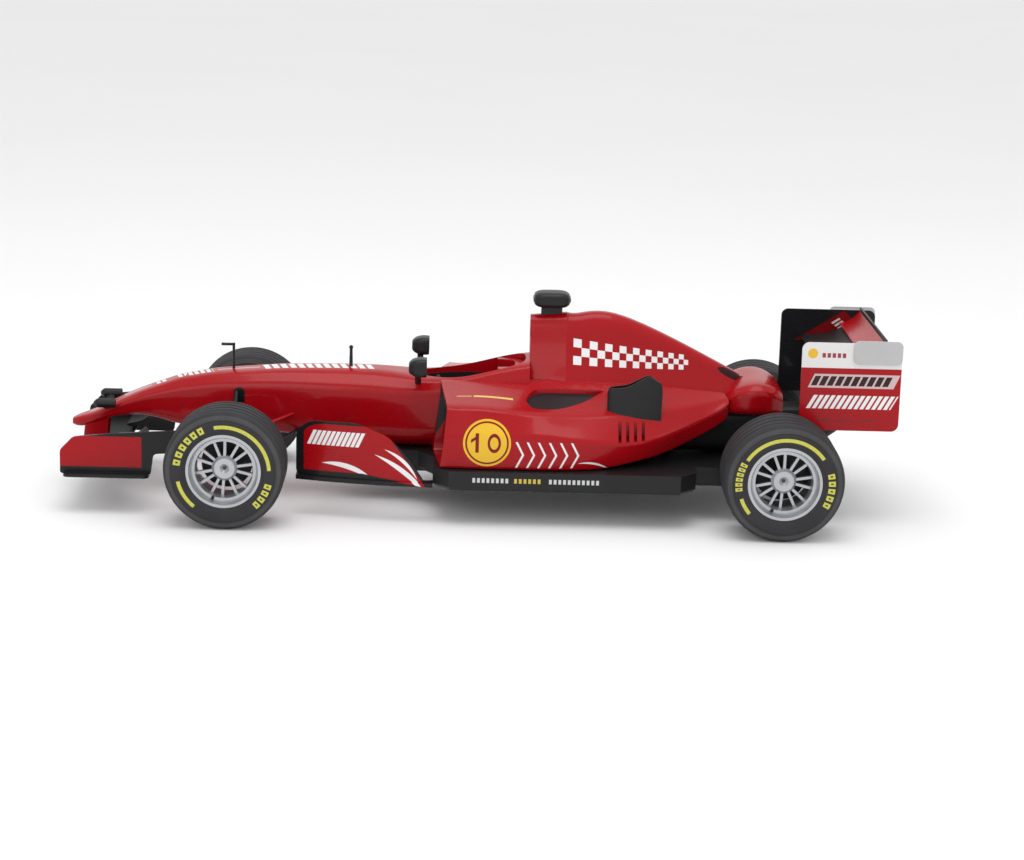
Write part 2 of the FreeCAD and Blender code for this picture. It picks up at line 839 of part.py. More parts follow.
def inlet_loft():
    """The inlet's hollow, from its swept mouth to its upright back."""
    front_x = pod_front_x + sliver
    inner = tub_half_w + pod_wall
    mouth = swept_ring(front_x, pod_sweep, inner, pod_wall, pod_stations_shares[0][1:])
    back = swept_ring(pod_front_x - inlet_depth, 0, inner, pod_wall, pod_stations_shares[1][1:])
    return loft([mouth, back])


def side_pod(blank, centre):
    """Left side pod: inlet, leaf shaped outlet and gills cut out, seated on tub and cover."""
    pod = blank.cut([inlet_loft(), outlet_prism(outlet_floor_z, pod_top_z + overrun)])
    for i in range(gill_count):
        x = gill_first_x - gill_pitch * i
        slot = box(V(x, 0, gill_low_z), V(x + gill_w, overrun, gill_low_z + gill_h))
        slot.translate(V(0, pod_half_w * gill_reach(x) - gill_depth, 0))
        pod = pod.cut(slot)
    return solid_of(pod.cut(centre))


def gill_reach(x):
    """Share of the pod's half width at its lip, read off the stations."""
    along = (pod_front_x - x) / pod_len
    for near, far in zip(pod_stations_shares, pod_stations_shares[1:]):
        if near[0] <= along <= far[0]:
            blend = (along - near[0]) / (far[0] - near[0])
            near_y = (near[3] + near[5]) / 2
            far_y = (far[3] + far[5]) / 2
            return near_y + (far_y - near_y) * blend
    return 1


def radiator():
    """Finned core that fills the back of the inlet."""
    x = pod_front_x - inlet_depth
    slab = box(V(x, 0, 0), V(x + radiator_t, pod_half_w, pod_top_z))
    core = inlet_loft().common(slab)
    span = core.BoundBox.YLength
    pitch = span / radiator_fins
    for i in range(1, radiator_fins):
        y = core.BoundBox.YMin + pitch * i
        slot = box(V(x + radiator_t / 2, y, 0), V(x + overrun, y + pitch / 3, pod_top_z))
        core = core.cut(slot)
    return solid_of(core)


def pod_outlet(blank, centre):
    """Dark insert, parallel to the pod's skin and sunk below it."""
    lowered = blank.copy()
    lowered.translate(V(0, 0, -outlet_sink))
    return solid_of(outlet_prism(outlet_floor_z, pod_top_z).common(lowered).cut(centre))


def chimney(blank, centre):
    """Streamlined duct that stands on the pod, open at its top."""
    half_t = chimney_t / 2
    outline = [
        V(chimney_front_x - chimney_len * x, chimney_y - half_t, chimney_base_z + chimney_h * z)
        for x, z in chimney_outline_shares
    ]
    side = prism(soft_ring(outline, ring_softness / 2), V(0, chimney_t, 0))
    duct = foil_prism(0).common(side)
    hollow = foil_prism(chimney_wall)
    hollow.translate(V(0, 0, chimney_h - chimney_throat))
    duct = duct.cut(hollow)
    return solid_of(duct.cut([blank] + centre))


def foil_prism(inset):
    """Upright prism with a leaf shaped plan, round at the front."""
    front = chimney_front_x - inset
    tail = chimney_front_x - chimney_len + inset * 3
    half_t = chimney_t / 2 - inset
    length = front - tail
    z = chimney_base_z
    nose = V(front, chimney_y, z)
    end = V(tail, chimney_y, z)
    flanks = []
    for side in (1, -1):
        shoulder = V(front, chimney_y + half_t * side, z)
        belly = V(front - length / 3, chimney_y + half_t * side * 1.6, z)
        flanks.append(bent_edge([nose, shoulder, belly, end]))
    return prism(Part.Wire(flanks), V(0, 0, chimney_h + overrun))


def rear_deck(covers):
    """Red fairing over the gearbox, between the rear wheels."""
    run = deck_front_x - deck_tail_x
    height = deck_high_z - deck_low_z
    shares = ((0.0, 0.60, 0.62), (0.35, 0.95, 0.95), (0.62, 1.0, 1.0), (1.0, 0.72, 0.82))
    rings = []
    for along, high, half in shares:
        x = deck_front_x - run * along
        high_z = deck_low_z + height * high
        rings.append(body_ring(x, deck_low_z, high_z, deck_half_w * half, tub_ring_shares))
    return solid_of(loft(rings).cut(covers))


def gearbox(others):
    """Black casing, tapering into the crash structure that carries the rear wing."""
    stations = (
        (gearbox_front_x, floor_top, gearbox_top_z, gearbox_half_w),
        ((gearbox_front_x + gearbox_tail_x) / 2, floor_top, gearbox_top_z, gearbox_half_w * 0.62),
        (gearbox_tail_x, floor_top + sliver, gearbox_top_z, gearbox_half_w * 0.40),
        (crash_tail_x, crash_z, crash_z + crash_h, crash_half_w),
    )
    rings = [body_ring(x, low, high, half, tub_ring_shares) for x, low, high, half in stations]
    return solid_of(loft(rings).cut(others))


def rain_light():
    low = V(crash_tail_x - rain_light_l, -rain_light_w / 2, crash_z + (crash_h - rain_light_h) / 2)
    block = box(low, low + V(rain_light_l, rain_light_w, rain_light_h))
    rear = [e for e in block.Edges if e.CenterOfMass.x < crash_tail_x - rain_light_l + sliver]
    return block.makeFillet(rain_light_l / 4, rear)


def square_ring(centre, half_w, half_h, softness):
    """Upright rectangle with eased corners, square to X."""
    corners = []
    for y, z in ((-1, -1), (1, -1), (1, 1), (-1, 1)):
        corners.append(centre + V(0, half_w * y, half_h * z))
    return soft_ring(corners, softness)


def mirror_piece(tub):
    """Housing with a recessed face to the rear, on a stalk from the tub's shoulder."""
    rings = []
    for share, size in ((0.0, 1.0), (0.55, 1.0), (0.85, 0.78), (1.0, 0.45)):
        x = mirror_x - mirror_l / 2 + mirror_l * share
        half_w = mirror_w / 2 * size
        half_h = mirror_h / 2 * size
        rings.append(square_ring(V(x, mirror_y, mirror_z), half_w, half_h, ring_softness * 0.7))
    shell = loft(rings)
    face = V(mirror_x - mirror_l / 2, mirror_y, mirror_z)
    half_w = mirror_w / 2 - mirror_shell
    half_h = mirror_h / 2 - mirror_shell
    recess = prism(square_ring(face, half_w, half_h, ring_softness * 0.7), V(mirror_face_depth, 0, 0))
    shell = shell.cut(recess)
    foot = V(mirror_x, mirror_foot_y, mirror_foot_z)
    seat_point = V(mirror_x, mirror_y, mirror_z - mirror_h / 4)
    stalk = flat_bar(foot, seat_point, mirror_stalk_r * 3, mirror_stalk_r * 1.4)
    return solid_of(shell.fuse(stalk).cut(tub).removeSplitter())


def camera_pod(hoop):
    """Wide pod on a stem over the roll hoop."""
    rings = []
    for share, size in ((0.0, 0.55), (0.14, 0.92), (0.5, 1.0), (0.86, 0.92), (1.0, 0.6)):
        x = camera_x - camera_l / 2 + camera_l * share
        centre = V(x, 0, camera_z + camera_h / 2)
        half_w = camera_w / 2 * size
        half_h = camera_h / 2 * size
        rings.append(square_ring(centre, half_w, half_h, ring_softness * 0.8))
    pod = loft(rings)
    low = V(camera_x - camera_stem_l / 2, -camera_stem_w / 2, airbox_top_z - intake_wall)
    stem = box(low, V(camera_x + camera_stem_l / 2, camera_stem_w / 2, camera_z + camera_h / 2))
    return solid_of(pod.fuse(stem).cut(hoop).removeSplitter())


def nose_cameras(nose):
    """Pair of small capsules on the flanks of the nose."""
    pods = []
    for side in (1, -1):
        start = V(nose_camera_x - nose_camera_l / 2, nose_camera_y, nose_camera_z)
        run = nose_camera_l - nose_camera_r
        body = Part.makeCylinder(nose_camera_r, run, start, V(1, 0, 0))
        cap = Part.makeSphere(nose_camera_r, start + V(run, 0, 0))
        root = V(nose_camera_x, 0, nose_camera_z - nose_camera_r * 2.5)
        end = V(nose_camera_x, nose_camera_y, nose_camera_z)
        arm = flat_bar(root, end, nose_camera_l / 2, nose_camera_r * 0.8)
        pod = outer_solid(body.fuse([cap, arm]).cut(nose).removeSplitter())
        pods.append(on_side(pod, side))
    return Part.makeCompound(pods)


def outer_solid(shape):
    """The largest solid of a cut shape, without what was cut off behind the surface."""
    return max(shape.Solids, key=lambda solid: solid.Volume)


def pitot_tube(tub):
    foot = V(pitot_x, 0, deck_z - mast_seat)
    top = V(pitot_x, 0, deck_z + pitot_h - mast_seat)
    post = Part.makeCylinder(pitot_r, top.z - foot.z, foot)
    arm = Part.makeCylinder(pitot_r, pitot_reach, top - V(0, 0, pitot_r), V(1, 0, 0))
    return solid_of(post.fuse(arm).cut(tub).removeSplitter())


def antenna_mast(tub):
    foot = V(mast_x, 0, deck_z - mast_seat)
    post = Part.makeCone(mast_r, mast_r * 0.7, mast_h + mast_seat, foot)
    return solid_of(post.cut(tub))


def foil_ring(lead, chord, thickness, rise):
    """Wing section: hollow top side, rounded nose, thin rear edge raised by the given rise."""
    tail = lead + V(-chord, 0, rise)
    edge = V(0, 0, sliver)
    nose = lead + V(0, 0, thickness / 3)
    skins = []
    for side in (1, -1):
        front = lead + V(-chord * 0.12, 0, thickness * side)
        middle = lead + V(-chord * 0.6, 0, thickness / 2 * side)
        skins.append(bent_edge([nose, front, middle, tail + edge * side]))
    rear = Part.makeLine(tail + edge, tail - edge)
    return Part.Wire([skins[0], rear, skins[1]])


def front_wing():
    """Main plane, spooned down at its middle."""
    rings = []
    for across in (-1, -0.45, 0, 0.45, 1):
        drop = wing_centre_drop * (1 - abs(across)) ** 2
        lead = V(wing_nose_x - wing_centre_drop * abs(across), wing_half_w * across, wing_z - drop)
        rings.append(foil_ring(lead, wing_chord, wing_t, wing_rise))
    return loft(rings)


def front_flap():
    """Left upper flap, deeper at the endplate."""
    lead_x = wing_nose_x - wing_chord + flap_gap * 2
    lead_z = wing_z + wing_rise + flap_gap
    rings = []
    for y, size in ((flap_inner_y, 0.7), ((flap_inner_y + wing_half_w) / 2, 0.9), (wing_half_w, 1)):
        rings.append(foil_ring(V(lead_x, y, lead_z), flap_chord * size, flap_t, flap_rise * size))
    return loft(rings)


def wing_pylons(nose, wing):
    """Two thin plates that hang the wing from the nose."""
    low_z = wing_z - wing_t
    high_z = belly_z + body_h / 2
    shift = V(-pylon_l, 0, 0)
    front_low = V(pylon_front_x, pylon_y, low_z)
    front_high = V(pylon_front_x - pylon_l / 4, pylon_y, high_z)
    corners = [front_low, front_high, front_high + shift, front_low + shift]
    plate = outer_solid(prism(sharp_ring(corners), V(0, pylon_t, 0)).cut([nose, wing]))
    return both_sides([plate])


def front_endplate():
    """Left endplate: upright panel with a footplate, its tail beside the tyre."""
    run = front_plate_nose_x - front_plate_tail_x
    height = front_plate_top_z - front_plate_z
    points = []
    for x, z in front_plate_outline_shares:
        points.append(V(front_plate_nose_x - run * x, wing_half_w, front_plate_z + height * z))
    plate = prism(soft_ring(points, ring_softness / 3), V(0, front_plate_t, 0))
    low = V(front_plate_nose_x - run * 0.67, wing_half_w, front_plate_z)
    foot = box(low, low + V(run * 0.64, front_plate_t + front_foot_w, front_foot_t))
    outer_y = wing_half_w + front_plate_t
    upright_edges = [e for e in foot.Edges if e.Length < front_foot_t + sliver]
    foot = foot.makeFillet(front_foot_w / 2, [e for e in upright_edges if e.CenterOfMass.y > outer_y])
    return solid_of(plate.fuse(foot).removeSplitter())


def bargeboard(tub):
    """Left bargeboard: a bowed panel cut to its outline, on a foot that reaches the floor."""
    middle_y = (barge_front_y + barge_tail_y) / 2
    plan_points = [
        V(barge_front_x, barge_front_y, 0),
        V((barge_front_x + barge_tail_x) / 2, middle_y + barge_bow, 0),
        V(barge_tail_x, barge_tail_y, 0),
    ]
    outer = bent_edge([p + V(0, barge_t, barge_low_z) for p in plan_points])
    inner = bent_edge([p + V(0, 0, barge_low_z) for p in reversed(plan_points)])
    ends = [Part.makeLine(outer.Vertexes[-1].Point, inner.Vertexes[0].Point)]
    ends.append(Part.makeLine(inner.Vertexes[-1].Point, outer.Vertexes[0].Point))
    wall = prism(Part.Wire([outer, ends[0], inner, ends[1]]), V(0, 0, barge_h))
    outline = [
        V(barge_front_x - barge_len * x, 0, barge_low_z + barge_h * z) for x, z in barge_outline_shares
    ]
    panel = wall.common(prism(soft_ring(outline, ring_softness / 2), V(0, floor_half_w, 0)))
    shift = V(0, -barge_foot_w / 2, barge_low_z)
    left = bent_edge([p + shift + V(0, barge_foot_w, 0) for p in plan_points])
    right = bent_edge([p + shift for p in reversed(plan_points)])
    tail_left = V(floor_front_x, barge_tail_y + barge_foot_w / 2, barge_low_z)
    tail_right = V(floor_front_x, barge_tail_y - barge_foot_w / 2, barge_low_z)
    edges = [left, Part.makeLine(left.Vertexes[-1].Point, tail_left)]
    edges.append(Part.makeLine(tail_left, tail_right))
    edges.append(Part.makeLine(tail_right, right.Vertexes[0].Point))
    edges.append(right)
    edges.append(Part.makeLine(right.Vertexes[-1].Point, left.Vertexes[0].Point))
    foot = prism(Part.Wire(edges), V(0, 0, barge_foot_t))
    stay_x = barge_front_x - barge_len / 3
    low = V(stay_x - barge_stay_w, 0, barge_stay_z)
    stay = box(low, V(stay_x, middle_y + barge_t, barge_stay_z + barge_stay_t))
    stay = stay.cut(tub)
    reach = max(stay.Solids, key=lambda s: s.CenterOfMass.y)
    return solid_of(panel.fuse([foot, reach]).removeSplitter())


def rear_endplate():
    """Left endplate of the rear wing, with a rounded upper front corner."""
    points = [
        V(plate_front_x, 0, plate_low_z), V(plate_front_x, 0, plate_top_z),
        V(tail_x, 0, plate_top_z), V(tail_x, 0, plate_low_z),
    ]
    plate = prism(sharp_ring(points), V(0, plate_t, 0))
    plate.translate(V(0, plate_half_span - plate_t, 0))
    corners = [e for e in plate.Edges if e.Length < plate_t + sliver]
    return plate.makeFillet(plate_corner, corners)


def flap_end_panel():
    """Pale rounded pad on the endplate's outer face, where the flap is held."""
    low = V(tail_x, plate_half_span, plate_top_z + panel_top_over - panel_h)
    pad = box(low, low + V(panel_l, panel_t, panel_h))
    corners = [e for e in pad.Edges if e.Length < panel_t + sliver]
    return pad.makeFillet(panel_corner, corners)


def rear_foil(lead_x, lead_z, chord, thickness, rise):
    span = plate_half_span - plate_t
    rings = [foil_ring(V(lead_x, y, lead_z), chord, thickness, rise) for y in (-span, span)]
    return loft(rings)


def rear_main_plane():
    return rear_foil(plate_front_x - main_front_gap, main_z, main_chord, main_t, main_rise)


def rear_flap():
    lead_x = plate_front_x - main_front_gap - main_chord + top_flap_gap
    return rear_foil(lead_x, main_z + main_rise + top_flap_gap, top_flap_chord, top_flap_t, top_flap_rise)


def beam_wing(crash):
    lead_x = plate_front_x - beam_front_gap
    return solid_of(rear_foil(lead_x, beam_z, beam_chord, beam_t, beam_rise).cut(crash))


def place_at_axle(shape, axle_x, side):
    placed = shape.copy()
    placed.translate(V(axle_x, 0, tyre_r))
    return on_side(placed, side)


def wishbone(ball, roots):
    """Two legs from one outer ball joint to two roots on the body."""
    legs = [flat_bar(ball, root, arm_w, arm_t) for root in roots]
    knob = Part.makeSphere(arm_w / 2, ball)
    return legs[0].fuse([legs[1], knob])


def seated(shape, carriers):
    """What is left of a member outside the pieces that hold its ends."""
    return [outer_solid(shape.cut(carriers))]


def both_sides(solids):
    return Part.makeCompound(solids + [mirrored(s) for s in solids])


def front_suspension(body, knuckle):
    ball_y = upright_inner_y() - arm_w / 2
    x = front_axle_x
    upper_ball = V(x, ball_y, tyre_r + upper_arm_rise)
    lower_ball = V(x, ball_y, tyre_r - lower_arm_drop)
    upper_roots = [V(x + front_arm_spread_front, front_root_y, front_upper_root_z)]
    upper_roots.append(V(x - front_arm_spread_rear, front_root_y, front_upper_root_z))
    lower_roots = [V(x + front_arm_spread_front, front_root_y, front_lower_root_z)]
    lower_roots.append(V(x - front_arm_spread_rear, front_root_y, front_lower_root_z))
    upper = seated(wishbone(upper_ball, upper_roots), [body, knuckle])
    lower = seated(wishbone(lower_ball, lower_roots), [body, knuckle])
    return upper, lower


def front_pushrod():
    """Rod from above the lower ball joint to the tub's flank."""
    ball_y = upright_inner_y()
    x = front_axle_x
    low = V(x, ball_y - arm_w * 1.5, tyre_r - lower_arm_drop + arm_t)
    return flat_bar(low, V(x, front_root_y, front_pushrod_root_z), pushrod_w, pushrod_t)


def rear_suspension(body, knuckle):
    ball_y = upright_inner_y() - arm_w / 2
    x = rear_axle_x
    arms = []
    levels = ((upper_arm_rise, rear_upper_root_z), (-rear_lower_arm_drop, rear_lower_root_z))
    for lift, root_z in levels:
        ball = V(x, ball_y, tyre_r + lift)
        roots = [V(x + rear_arm_spread * side, rear_root_y, root_z) for side in (1, -0.35)]
        arms.append(seated(wishbone(ball, roots), [body, knuckle]))
    return arms


def drive_shaft(body, knuckle):
    start = V(rear_axle_x, 0, tyre_r + shaft_rise)
    rod = Part.makeCylinder(shaft_r, upright_inner_y(), start, V(0, 1, 0))
    return seated(rod, [body, knuckle])


def build():
    """Every node by name."""
    nodes = {}
    pan = floor_pan()
    nodes["floor"] = pan
    nodes["diffuser"] = diffuser()
    nose = nose_cone()
    nodes["nose_cone"] = nose
    whole_tub = tub_loft()
    blank_tub = whole_tub.cut(pan)
    tub = blank_tub.cut(opening_prism(0, cockpit_floor_z - liner_t, deck_z + overrun))
    nodes["cockpit_tub"] = solid_of(tub)
    liner = cockpit_liner()
    nodes["cockpit_liner"] = liner
    nodes["seat"] = seat(liner)
    nodes["headrest"] = headrest()
    nodes["dashboard"] = dashboard()
    nodes["steering_wheel"] = steering_wheel()
    nodes["airbox"] = airbox([blank_tub, pan])
    blank_cover = engine_cover_loft().cut(pan)
    nodes["engine_cover"] = engine_cover(blank_cover)
    centre = [whole_tub, airbox_loft(), blank_cover]
    blank_pod = pod_loft(pan)
    seated_pod = side_pod(blank_pod, centre)
    core = radiator()
    leaf = pod_outlet(blank_pod, centre)
    stack = chimney(blank_pod, centre)
    glass = mirror_piece(blank_tub)
    board = bargeboard(blank_tub)
    plate = front_endplate()
    flap = front_flap()
    wing_plate = rear_endplate()
    pad = flap_end_panel()
    for name, side in SIDES:
        nodes["side_pod_" + name] = on_side(seated_pod, side)
        nodes["chimney_" + name] = on_side(stack, side)
        nodes["mirror_" + name] = on_side(glass, side)
        nodes["bargeboard_" + name] = on_side(board, side)
        nodes["front_endplate_" + name] = on_side(plate, side)
        nodes["front_flap_" + name] = on_side(flap, side)
        nodes["rear_endplate_" + name] = on_side(wing_plate, side)
    nodes["radiators"] = both_sides([core])
    nodes["pod_outlets"] = both_sides([leaf])
    nodes["flap_end_panels"] = both_sides([pad])
    covers = [blank_cover, blank_pod, mirrored(blank_pod)]
    deck = rear_deck(covers)
    nodes["rear_deck"] = deck
    casing = gearbox([pan, deck] + covers)
    nodes["gearbox"] = casing
    nodes["rain_light"] = rain_light()
    nodes["camera_pod"] = camera_pod(airbox_loft())
    nodes["nose_cameras"] = nose_cameras(nose)
    nodes["pitot_tube"] = pitot_tube(blank_tub)
    nodes["antenna_mast"] = antenna_mast(blank_tub)
    wing = front_wing()
    nodes["front_wing"] = wing
    nodes["wing_pylons"] = wing_pylons(nose, wing)
    nodes["rear_wing"] = rear_main_plane()
    nodes["rear_wing_flap"] = rear_flap()
    nodes["beam_wing"] = beam_wing(casing)
    axles = (("front", front_axle_x, front_tyre_w), ("rear", rear_axle_x, rear_tyre_w))
    pins = []
    for end, axle_x, width in axles:
        parts = (("tyre", tyre(width)), ("rim", rim(width)), ("upright", upright()))
        for name, side in SIDES:
            pins.append(place_at_axle(stub_axle(), axle_x, side))
            for kind, shape in parts:
                nodes["_".join((kind, end, name))] = place_at_axle(shape, axle_x, side)
    nodes["stub_axles"] = Part.makeCompound(pins)
    front_body = blank_tub.fuse(nose)
    knuckle = nodes["upright_front_left"].fuse(pins[0])
    upper, lower = front_suspension(front_body, knuckle)
    nodes["front_upper_wishbones"] = both_sides(upper)
    nodes["front_lower_wishbones"] = both_sides(lower)
    rod = front_pushrod()
    nodes["front_pushrods"] = both_sides(seated(rod, [front_body, knuckle] + lower + upper))
    knuckle = nodes["upright_rear_left"].fuse(pins[2])
    upper, lower = rear_suspension(casing, knuckle)
    nodes["rear_upper_wishbones"] = both_sides(upper)
    nodes["rear_lower_wishbones"] = both_sides(lower)
    nodes["drive_shafts"] = both_sides(drive_shaft(casing, knuckle))
    return nodes


def main():
    os.makedirs("parts", exist_ok=True)
    for name, shape in build().items():
        bounds = shape.BoundBox
        solids = shape.Solids
        sound = all(s.isValid() for s in solids)
        print(
            f"{name:24s} solids {len(solids)} valid {sound} volume {shape.Volume:9.1f} "
            f"x {bounds.XMin:7.1f} {bounds.XMax:7.1f} y {bounds.YMin:6.1f} {bounds.YMax:6.1f} "
            f"z {bounds.ZMin:6.1f} {bounds.ZMax:6.1f}"
        )
        shape.exportStep(os.path.join("parts", name + ".step"))


main()
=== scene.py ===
"""Dresses the toy open wheel racing car: tyres, small fittings, lacquer, marks, studio and camera."""
import json
import math
from functools import reduce
from operator import or_

import bpy
from mathutils import Matrix, Vector


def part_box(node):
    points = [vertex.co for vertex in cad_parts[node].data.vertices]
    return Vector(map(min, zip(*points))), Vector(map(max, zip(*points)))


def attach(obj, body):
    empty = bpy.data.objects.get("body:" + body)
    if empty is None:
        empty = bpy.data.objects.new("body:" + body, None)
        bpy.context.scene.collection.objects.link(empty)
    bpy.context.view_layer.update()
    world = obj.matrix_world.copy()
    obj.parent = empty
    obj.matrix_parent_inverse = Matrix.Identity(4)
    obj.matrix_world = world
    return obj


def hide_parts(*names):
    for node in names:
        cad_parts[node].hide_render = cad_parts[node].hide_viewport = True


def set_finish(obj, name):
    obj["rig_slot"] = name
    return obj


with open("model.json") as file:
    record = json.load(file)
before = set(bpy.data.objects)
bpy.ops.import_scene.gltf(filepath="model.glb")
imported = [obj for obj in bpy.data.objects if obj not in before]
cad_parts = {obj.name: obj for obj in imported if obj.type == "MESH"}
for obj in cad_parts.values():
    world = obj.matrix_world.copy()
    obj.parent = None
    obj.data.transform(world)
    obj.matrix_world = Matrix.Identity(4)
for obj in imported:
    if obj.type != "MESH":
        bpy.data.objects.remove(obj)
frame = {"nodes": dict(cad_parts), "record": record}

bl_info = {
    "name": "Toy racing car dressing",
    "version": (1, 0, 0),
    "blender": (4, 5, 0),
    "location": "3D View > Sidebar > Racing car",
    "description": "Adds tyres, fittings, finishes and a studio to the toy open wheel racing car",
    "category": "Object",
}

NODES = frame["nodes"]
SLOTS = {part["node"]: part["material_slot"] for part in frame["record"]["subparts"]}
HUBS = {joint["child"]: joint["pos_m"] for joint in frame["record"]["behaviour"]["joints"]}
MM = 0.001
FRONT_X = round(HUBS["wheel_front_left"][0] / MM, 2)
REAR_X = round(HUBS["wheel_rear_left"][0] / MM, 2)
AXLE_Z = round(HUBS["wheel_front_left"][2] / MM, 2)
TYRE_R = AXLE_Z
AXLES = (("front", FRONT_X), ("rear", REAR_X))
SIDES = (("left", 1), ("right", -1))


def corners(node):
    """Low and high corner of a node's box in mm."""
    return [Vector([round(value / MM, 2) for value in corner]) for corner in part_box(node)]


HALF_WIDTH = corners("tyre_front_left")[1].y


# Shader maths

class Wire:
    """A socket in a material. Sums on it add Math nodes."""

    def __init__(self, finish, socket):
        self.finish = finish
        self.socket = socket

    def calc(self, operation, *values):
        """Adds a Math node that works on wires and plain numbers."""
        return self.finish.node("ShaderNodeMath", {"operation": operation}, dict(enumerate(values)))

    def __add__(self, other):
        return self.calc("ADD", self, other)

    def __radd__(self, other):
        return self.calc("ADD", other, self)

    def __sub__(self, other):
        return self.calc("SUBTRACT", self, other)

    def __rsub__(self, other):
        return self.calc("SUBTRACT", other, self)

    def __mul__(self, other):
        return self.calc("MULTIPLY", self, other)

    def __rmul__(self, other):
        return self.calc("MULTIPLY", other, self)

    def __truediv__(self, other):
        return self.calc("DIVIDE", self, other)

    def __neg__(self):
        return self.calc("MULTIPLY", self, -1)

    def __abs__(self):
        return self.calc("ABSOLUTE", self)

    def __mod__(self, other):
        return self.calc("FLOORED_MODULO", self, other)

    def __or__(self, other):
        return self.calc("MAXIMUM", self, other)

    def __and__(self, other):
        return self.calc("MINIMUM", self, other)

    def sign(self):
        return self.calc("SIGN", self)

    def floor(self):
        return self.calc("FLOOR", self)

    def root(self):
        return self.calc("SQRT", self)

    def sine(self):
        return self.calc("SINE", self)

    def log(self):
        return self.calc("LOGARITHM", self, math.e)

    def clamp(self):
        return self.finish.node("ShaderNodeClamp", {}, {"Value": self})


class Finish:
    """A material whose pattern follows the piece's own Object coordinates; x, y and z are in mm."""

    def __init__(self, name, constants):
        self.material = bpy.data.materials.new(name)
        self.material.use_nodes = True
        self.tree = self.material.node_tree
        self.shader = self.tree.nodes["Principled BSDF"]
        for socket, value in constants.items():
            self.shader.inputs[socket].default_value = value
        self.place = self.node("ShaderNodeTexCoord", out="Object")
        axes = self.node("ShaderNodeSeparateXYZ", {}, {0: self.place}).socket.node.outputs
        self.x, self.y, self.z = (Wire(self, socket) * (1 / MM) for socket in axes)

    def node(self, kind, settings=None, inputs=None, out=0):
        """Adds a node: its settings first, then the values or links of its sockets."""
        made = self.tree.nodes.new(kind)
        for key, value in (settings or {}).items():
            setattr(made, key, value)
        for key, value in (inputs or {}).items():
            if isinstance(value, Wire):
                self.tree.links.new(value.socket, made.inputs[key])
            else:
                made.inputs[key].default_value = value
        return Wire(self, made.outputs[out])

    def noise(self, size, detail=3, stretch=(1, 1, 1), roughness=0.5):
        """Soft blotches about this many mm across, from 0 to 1."""
        scaled = self.node("ShaderNodeMapping", {}, {"Vector": self.place, "Scale": stretch})
        inputs = {"Vector": scaled, "Scale": 1 / MM / size, "Detail": detail, "Roughness": roughness}
        return self.node("ShaderNodeTexNoise", {}, inputs)

    def mix(self, share, low, high):
        """Colour that goes from low to high as share goes from 0 to 1."""
        inputs = {0: share, 6: rgba(low), 7: rgba(high)}
        return self.node("ShaderNodeMix", {"data_type": "RGBA"}, inputs, out=2)

    def bump(self, height, depth, under=None):
        """Relief of this many mm where height is 1."""
        inputs = {"Height": height, "Distance": depth * MM, "Strength": 1.0}
        if under:
            inputs["Normal"] = under
        return self.node("ShaderNodeBump", {}, inputs)

    def done(self, colour, roughness, normal, metallic=None):
        """Links what varies over the surface and gives the material."""
        wires = {"Base Color": colour, "Roughness": roughness, "Normal": normal, "Metallic": metallic}
        for socket, wire in wires.items():
            if wire:
                self.tree.links.new(wire.socket, self.shader.inputs[socket])
        return self.material


def rgba(value):
    """A linked colour as it is, or a plain one with its fourth value."""
    return value if isinstance(value, Wire) else (*value[:3], 1)


def shade(colour, share):
    """A colour made darker or paler."""
    return [channel * share for channel in colour]


def band(value, low, high, soft=0.15):
    """1 where value lies between low and high, 0 elsewhere."""
    half = (high - low) * 0.5
    return ((half - abs(value - (low + half))) / soft + 0.5).clamp()


def below(value, edge, soft=0.15):
    """1 where value lies under the edge, 0 elsewhere."""
    return ((edge - value) / soft + 0.5).clamp()


def distance(u, v):
    """How far a place lies from the origin."""
    return (u * u + v * v).root()


def bearing(u, v):
    """Angle of a place about the origin, in degrees."""
    return v.calc("ARCTAN2", v, u) * math.degrees(1)


def slanted(u, v, centre, angle):
    """Place along and across a line through the centre that falls by the angle, in degrees."""
    u, v = u - centre[0], v - centre[1]
    cosine, sine = math.cos(math.radians(angle)), math.sin(math.radians(angle))
    return u * cosine - v * sine, u * sine + v * cosine


def bars(u, v, start, end, low, high, pitch, fill=0.6, slant=0.0):
    """Row of equal bars between start and end, leaning by slant for each mm of height."""
    lean = u - (v - low) * slant
    step = (lean - start) % pitch
    return band(lean, start, end) * band(v, low, high) * band(step, 0, pitch * fill)


def crescent(u, v, start, end, bulge, hollow):
    """Sickle between two tips, the left one first. Its edges rise bulge and hollow mm over their line."""
    start, end = Vector(start), Vector(end)
    chord = end - start
    across = Vector((chord.y, -chord.x)).normalized()
    inside = []
    for rise in (bulge, hollow):
        radius = (chord.length ** 2 / 4 + rise ** 2) / (2 * rise)
        centre = (start + end) / 2 + across * (radius - rise)
        inside.append(below(distance(u - centre.x, v - centre.y), radius))
    return inside[0] * (1 - inside[1])


def smudges(finish, base, spread):
    """Roughness with finger marks and light rubbing."""
    marks = finish.noise(22, 4)
    fine = finish.noise(3, 2, (1, 1, 4))
    return base + (marks - 0.5) * spread + (fine - 0.5) * spread * 0.4


def rubbed(finish, colour, pale, amount):
    """Colour with faint paler scuffs in thin lines."""
    lines = finish.noise(2.5, 4, (1, 1, 6), 0.7)
    patch = finish.noise(35, 2)
    share = ((lines - 0.66) * 6).clamp() * ((patch - 0.5) * 4).clamp() * amount
    return finish.mix(share, colour, pale)


# Finishes

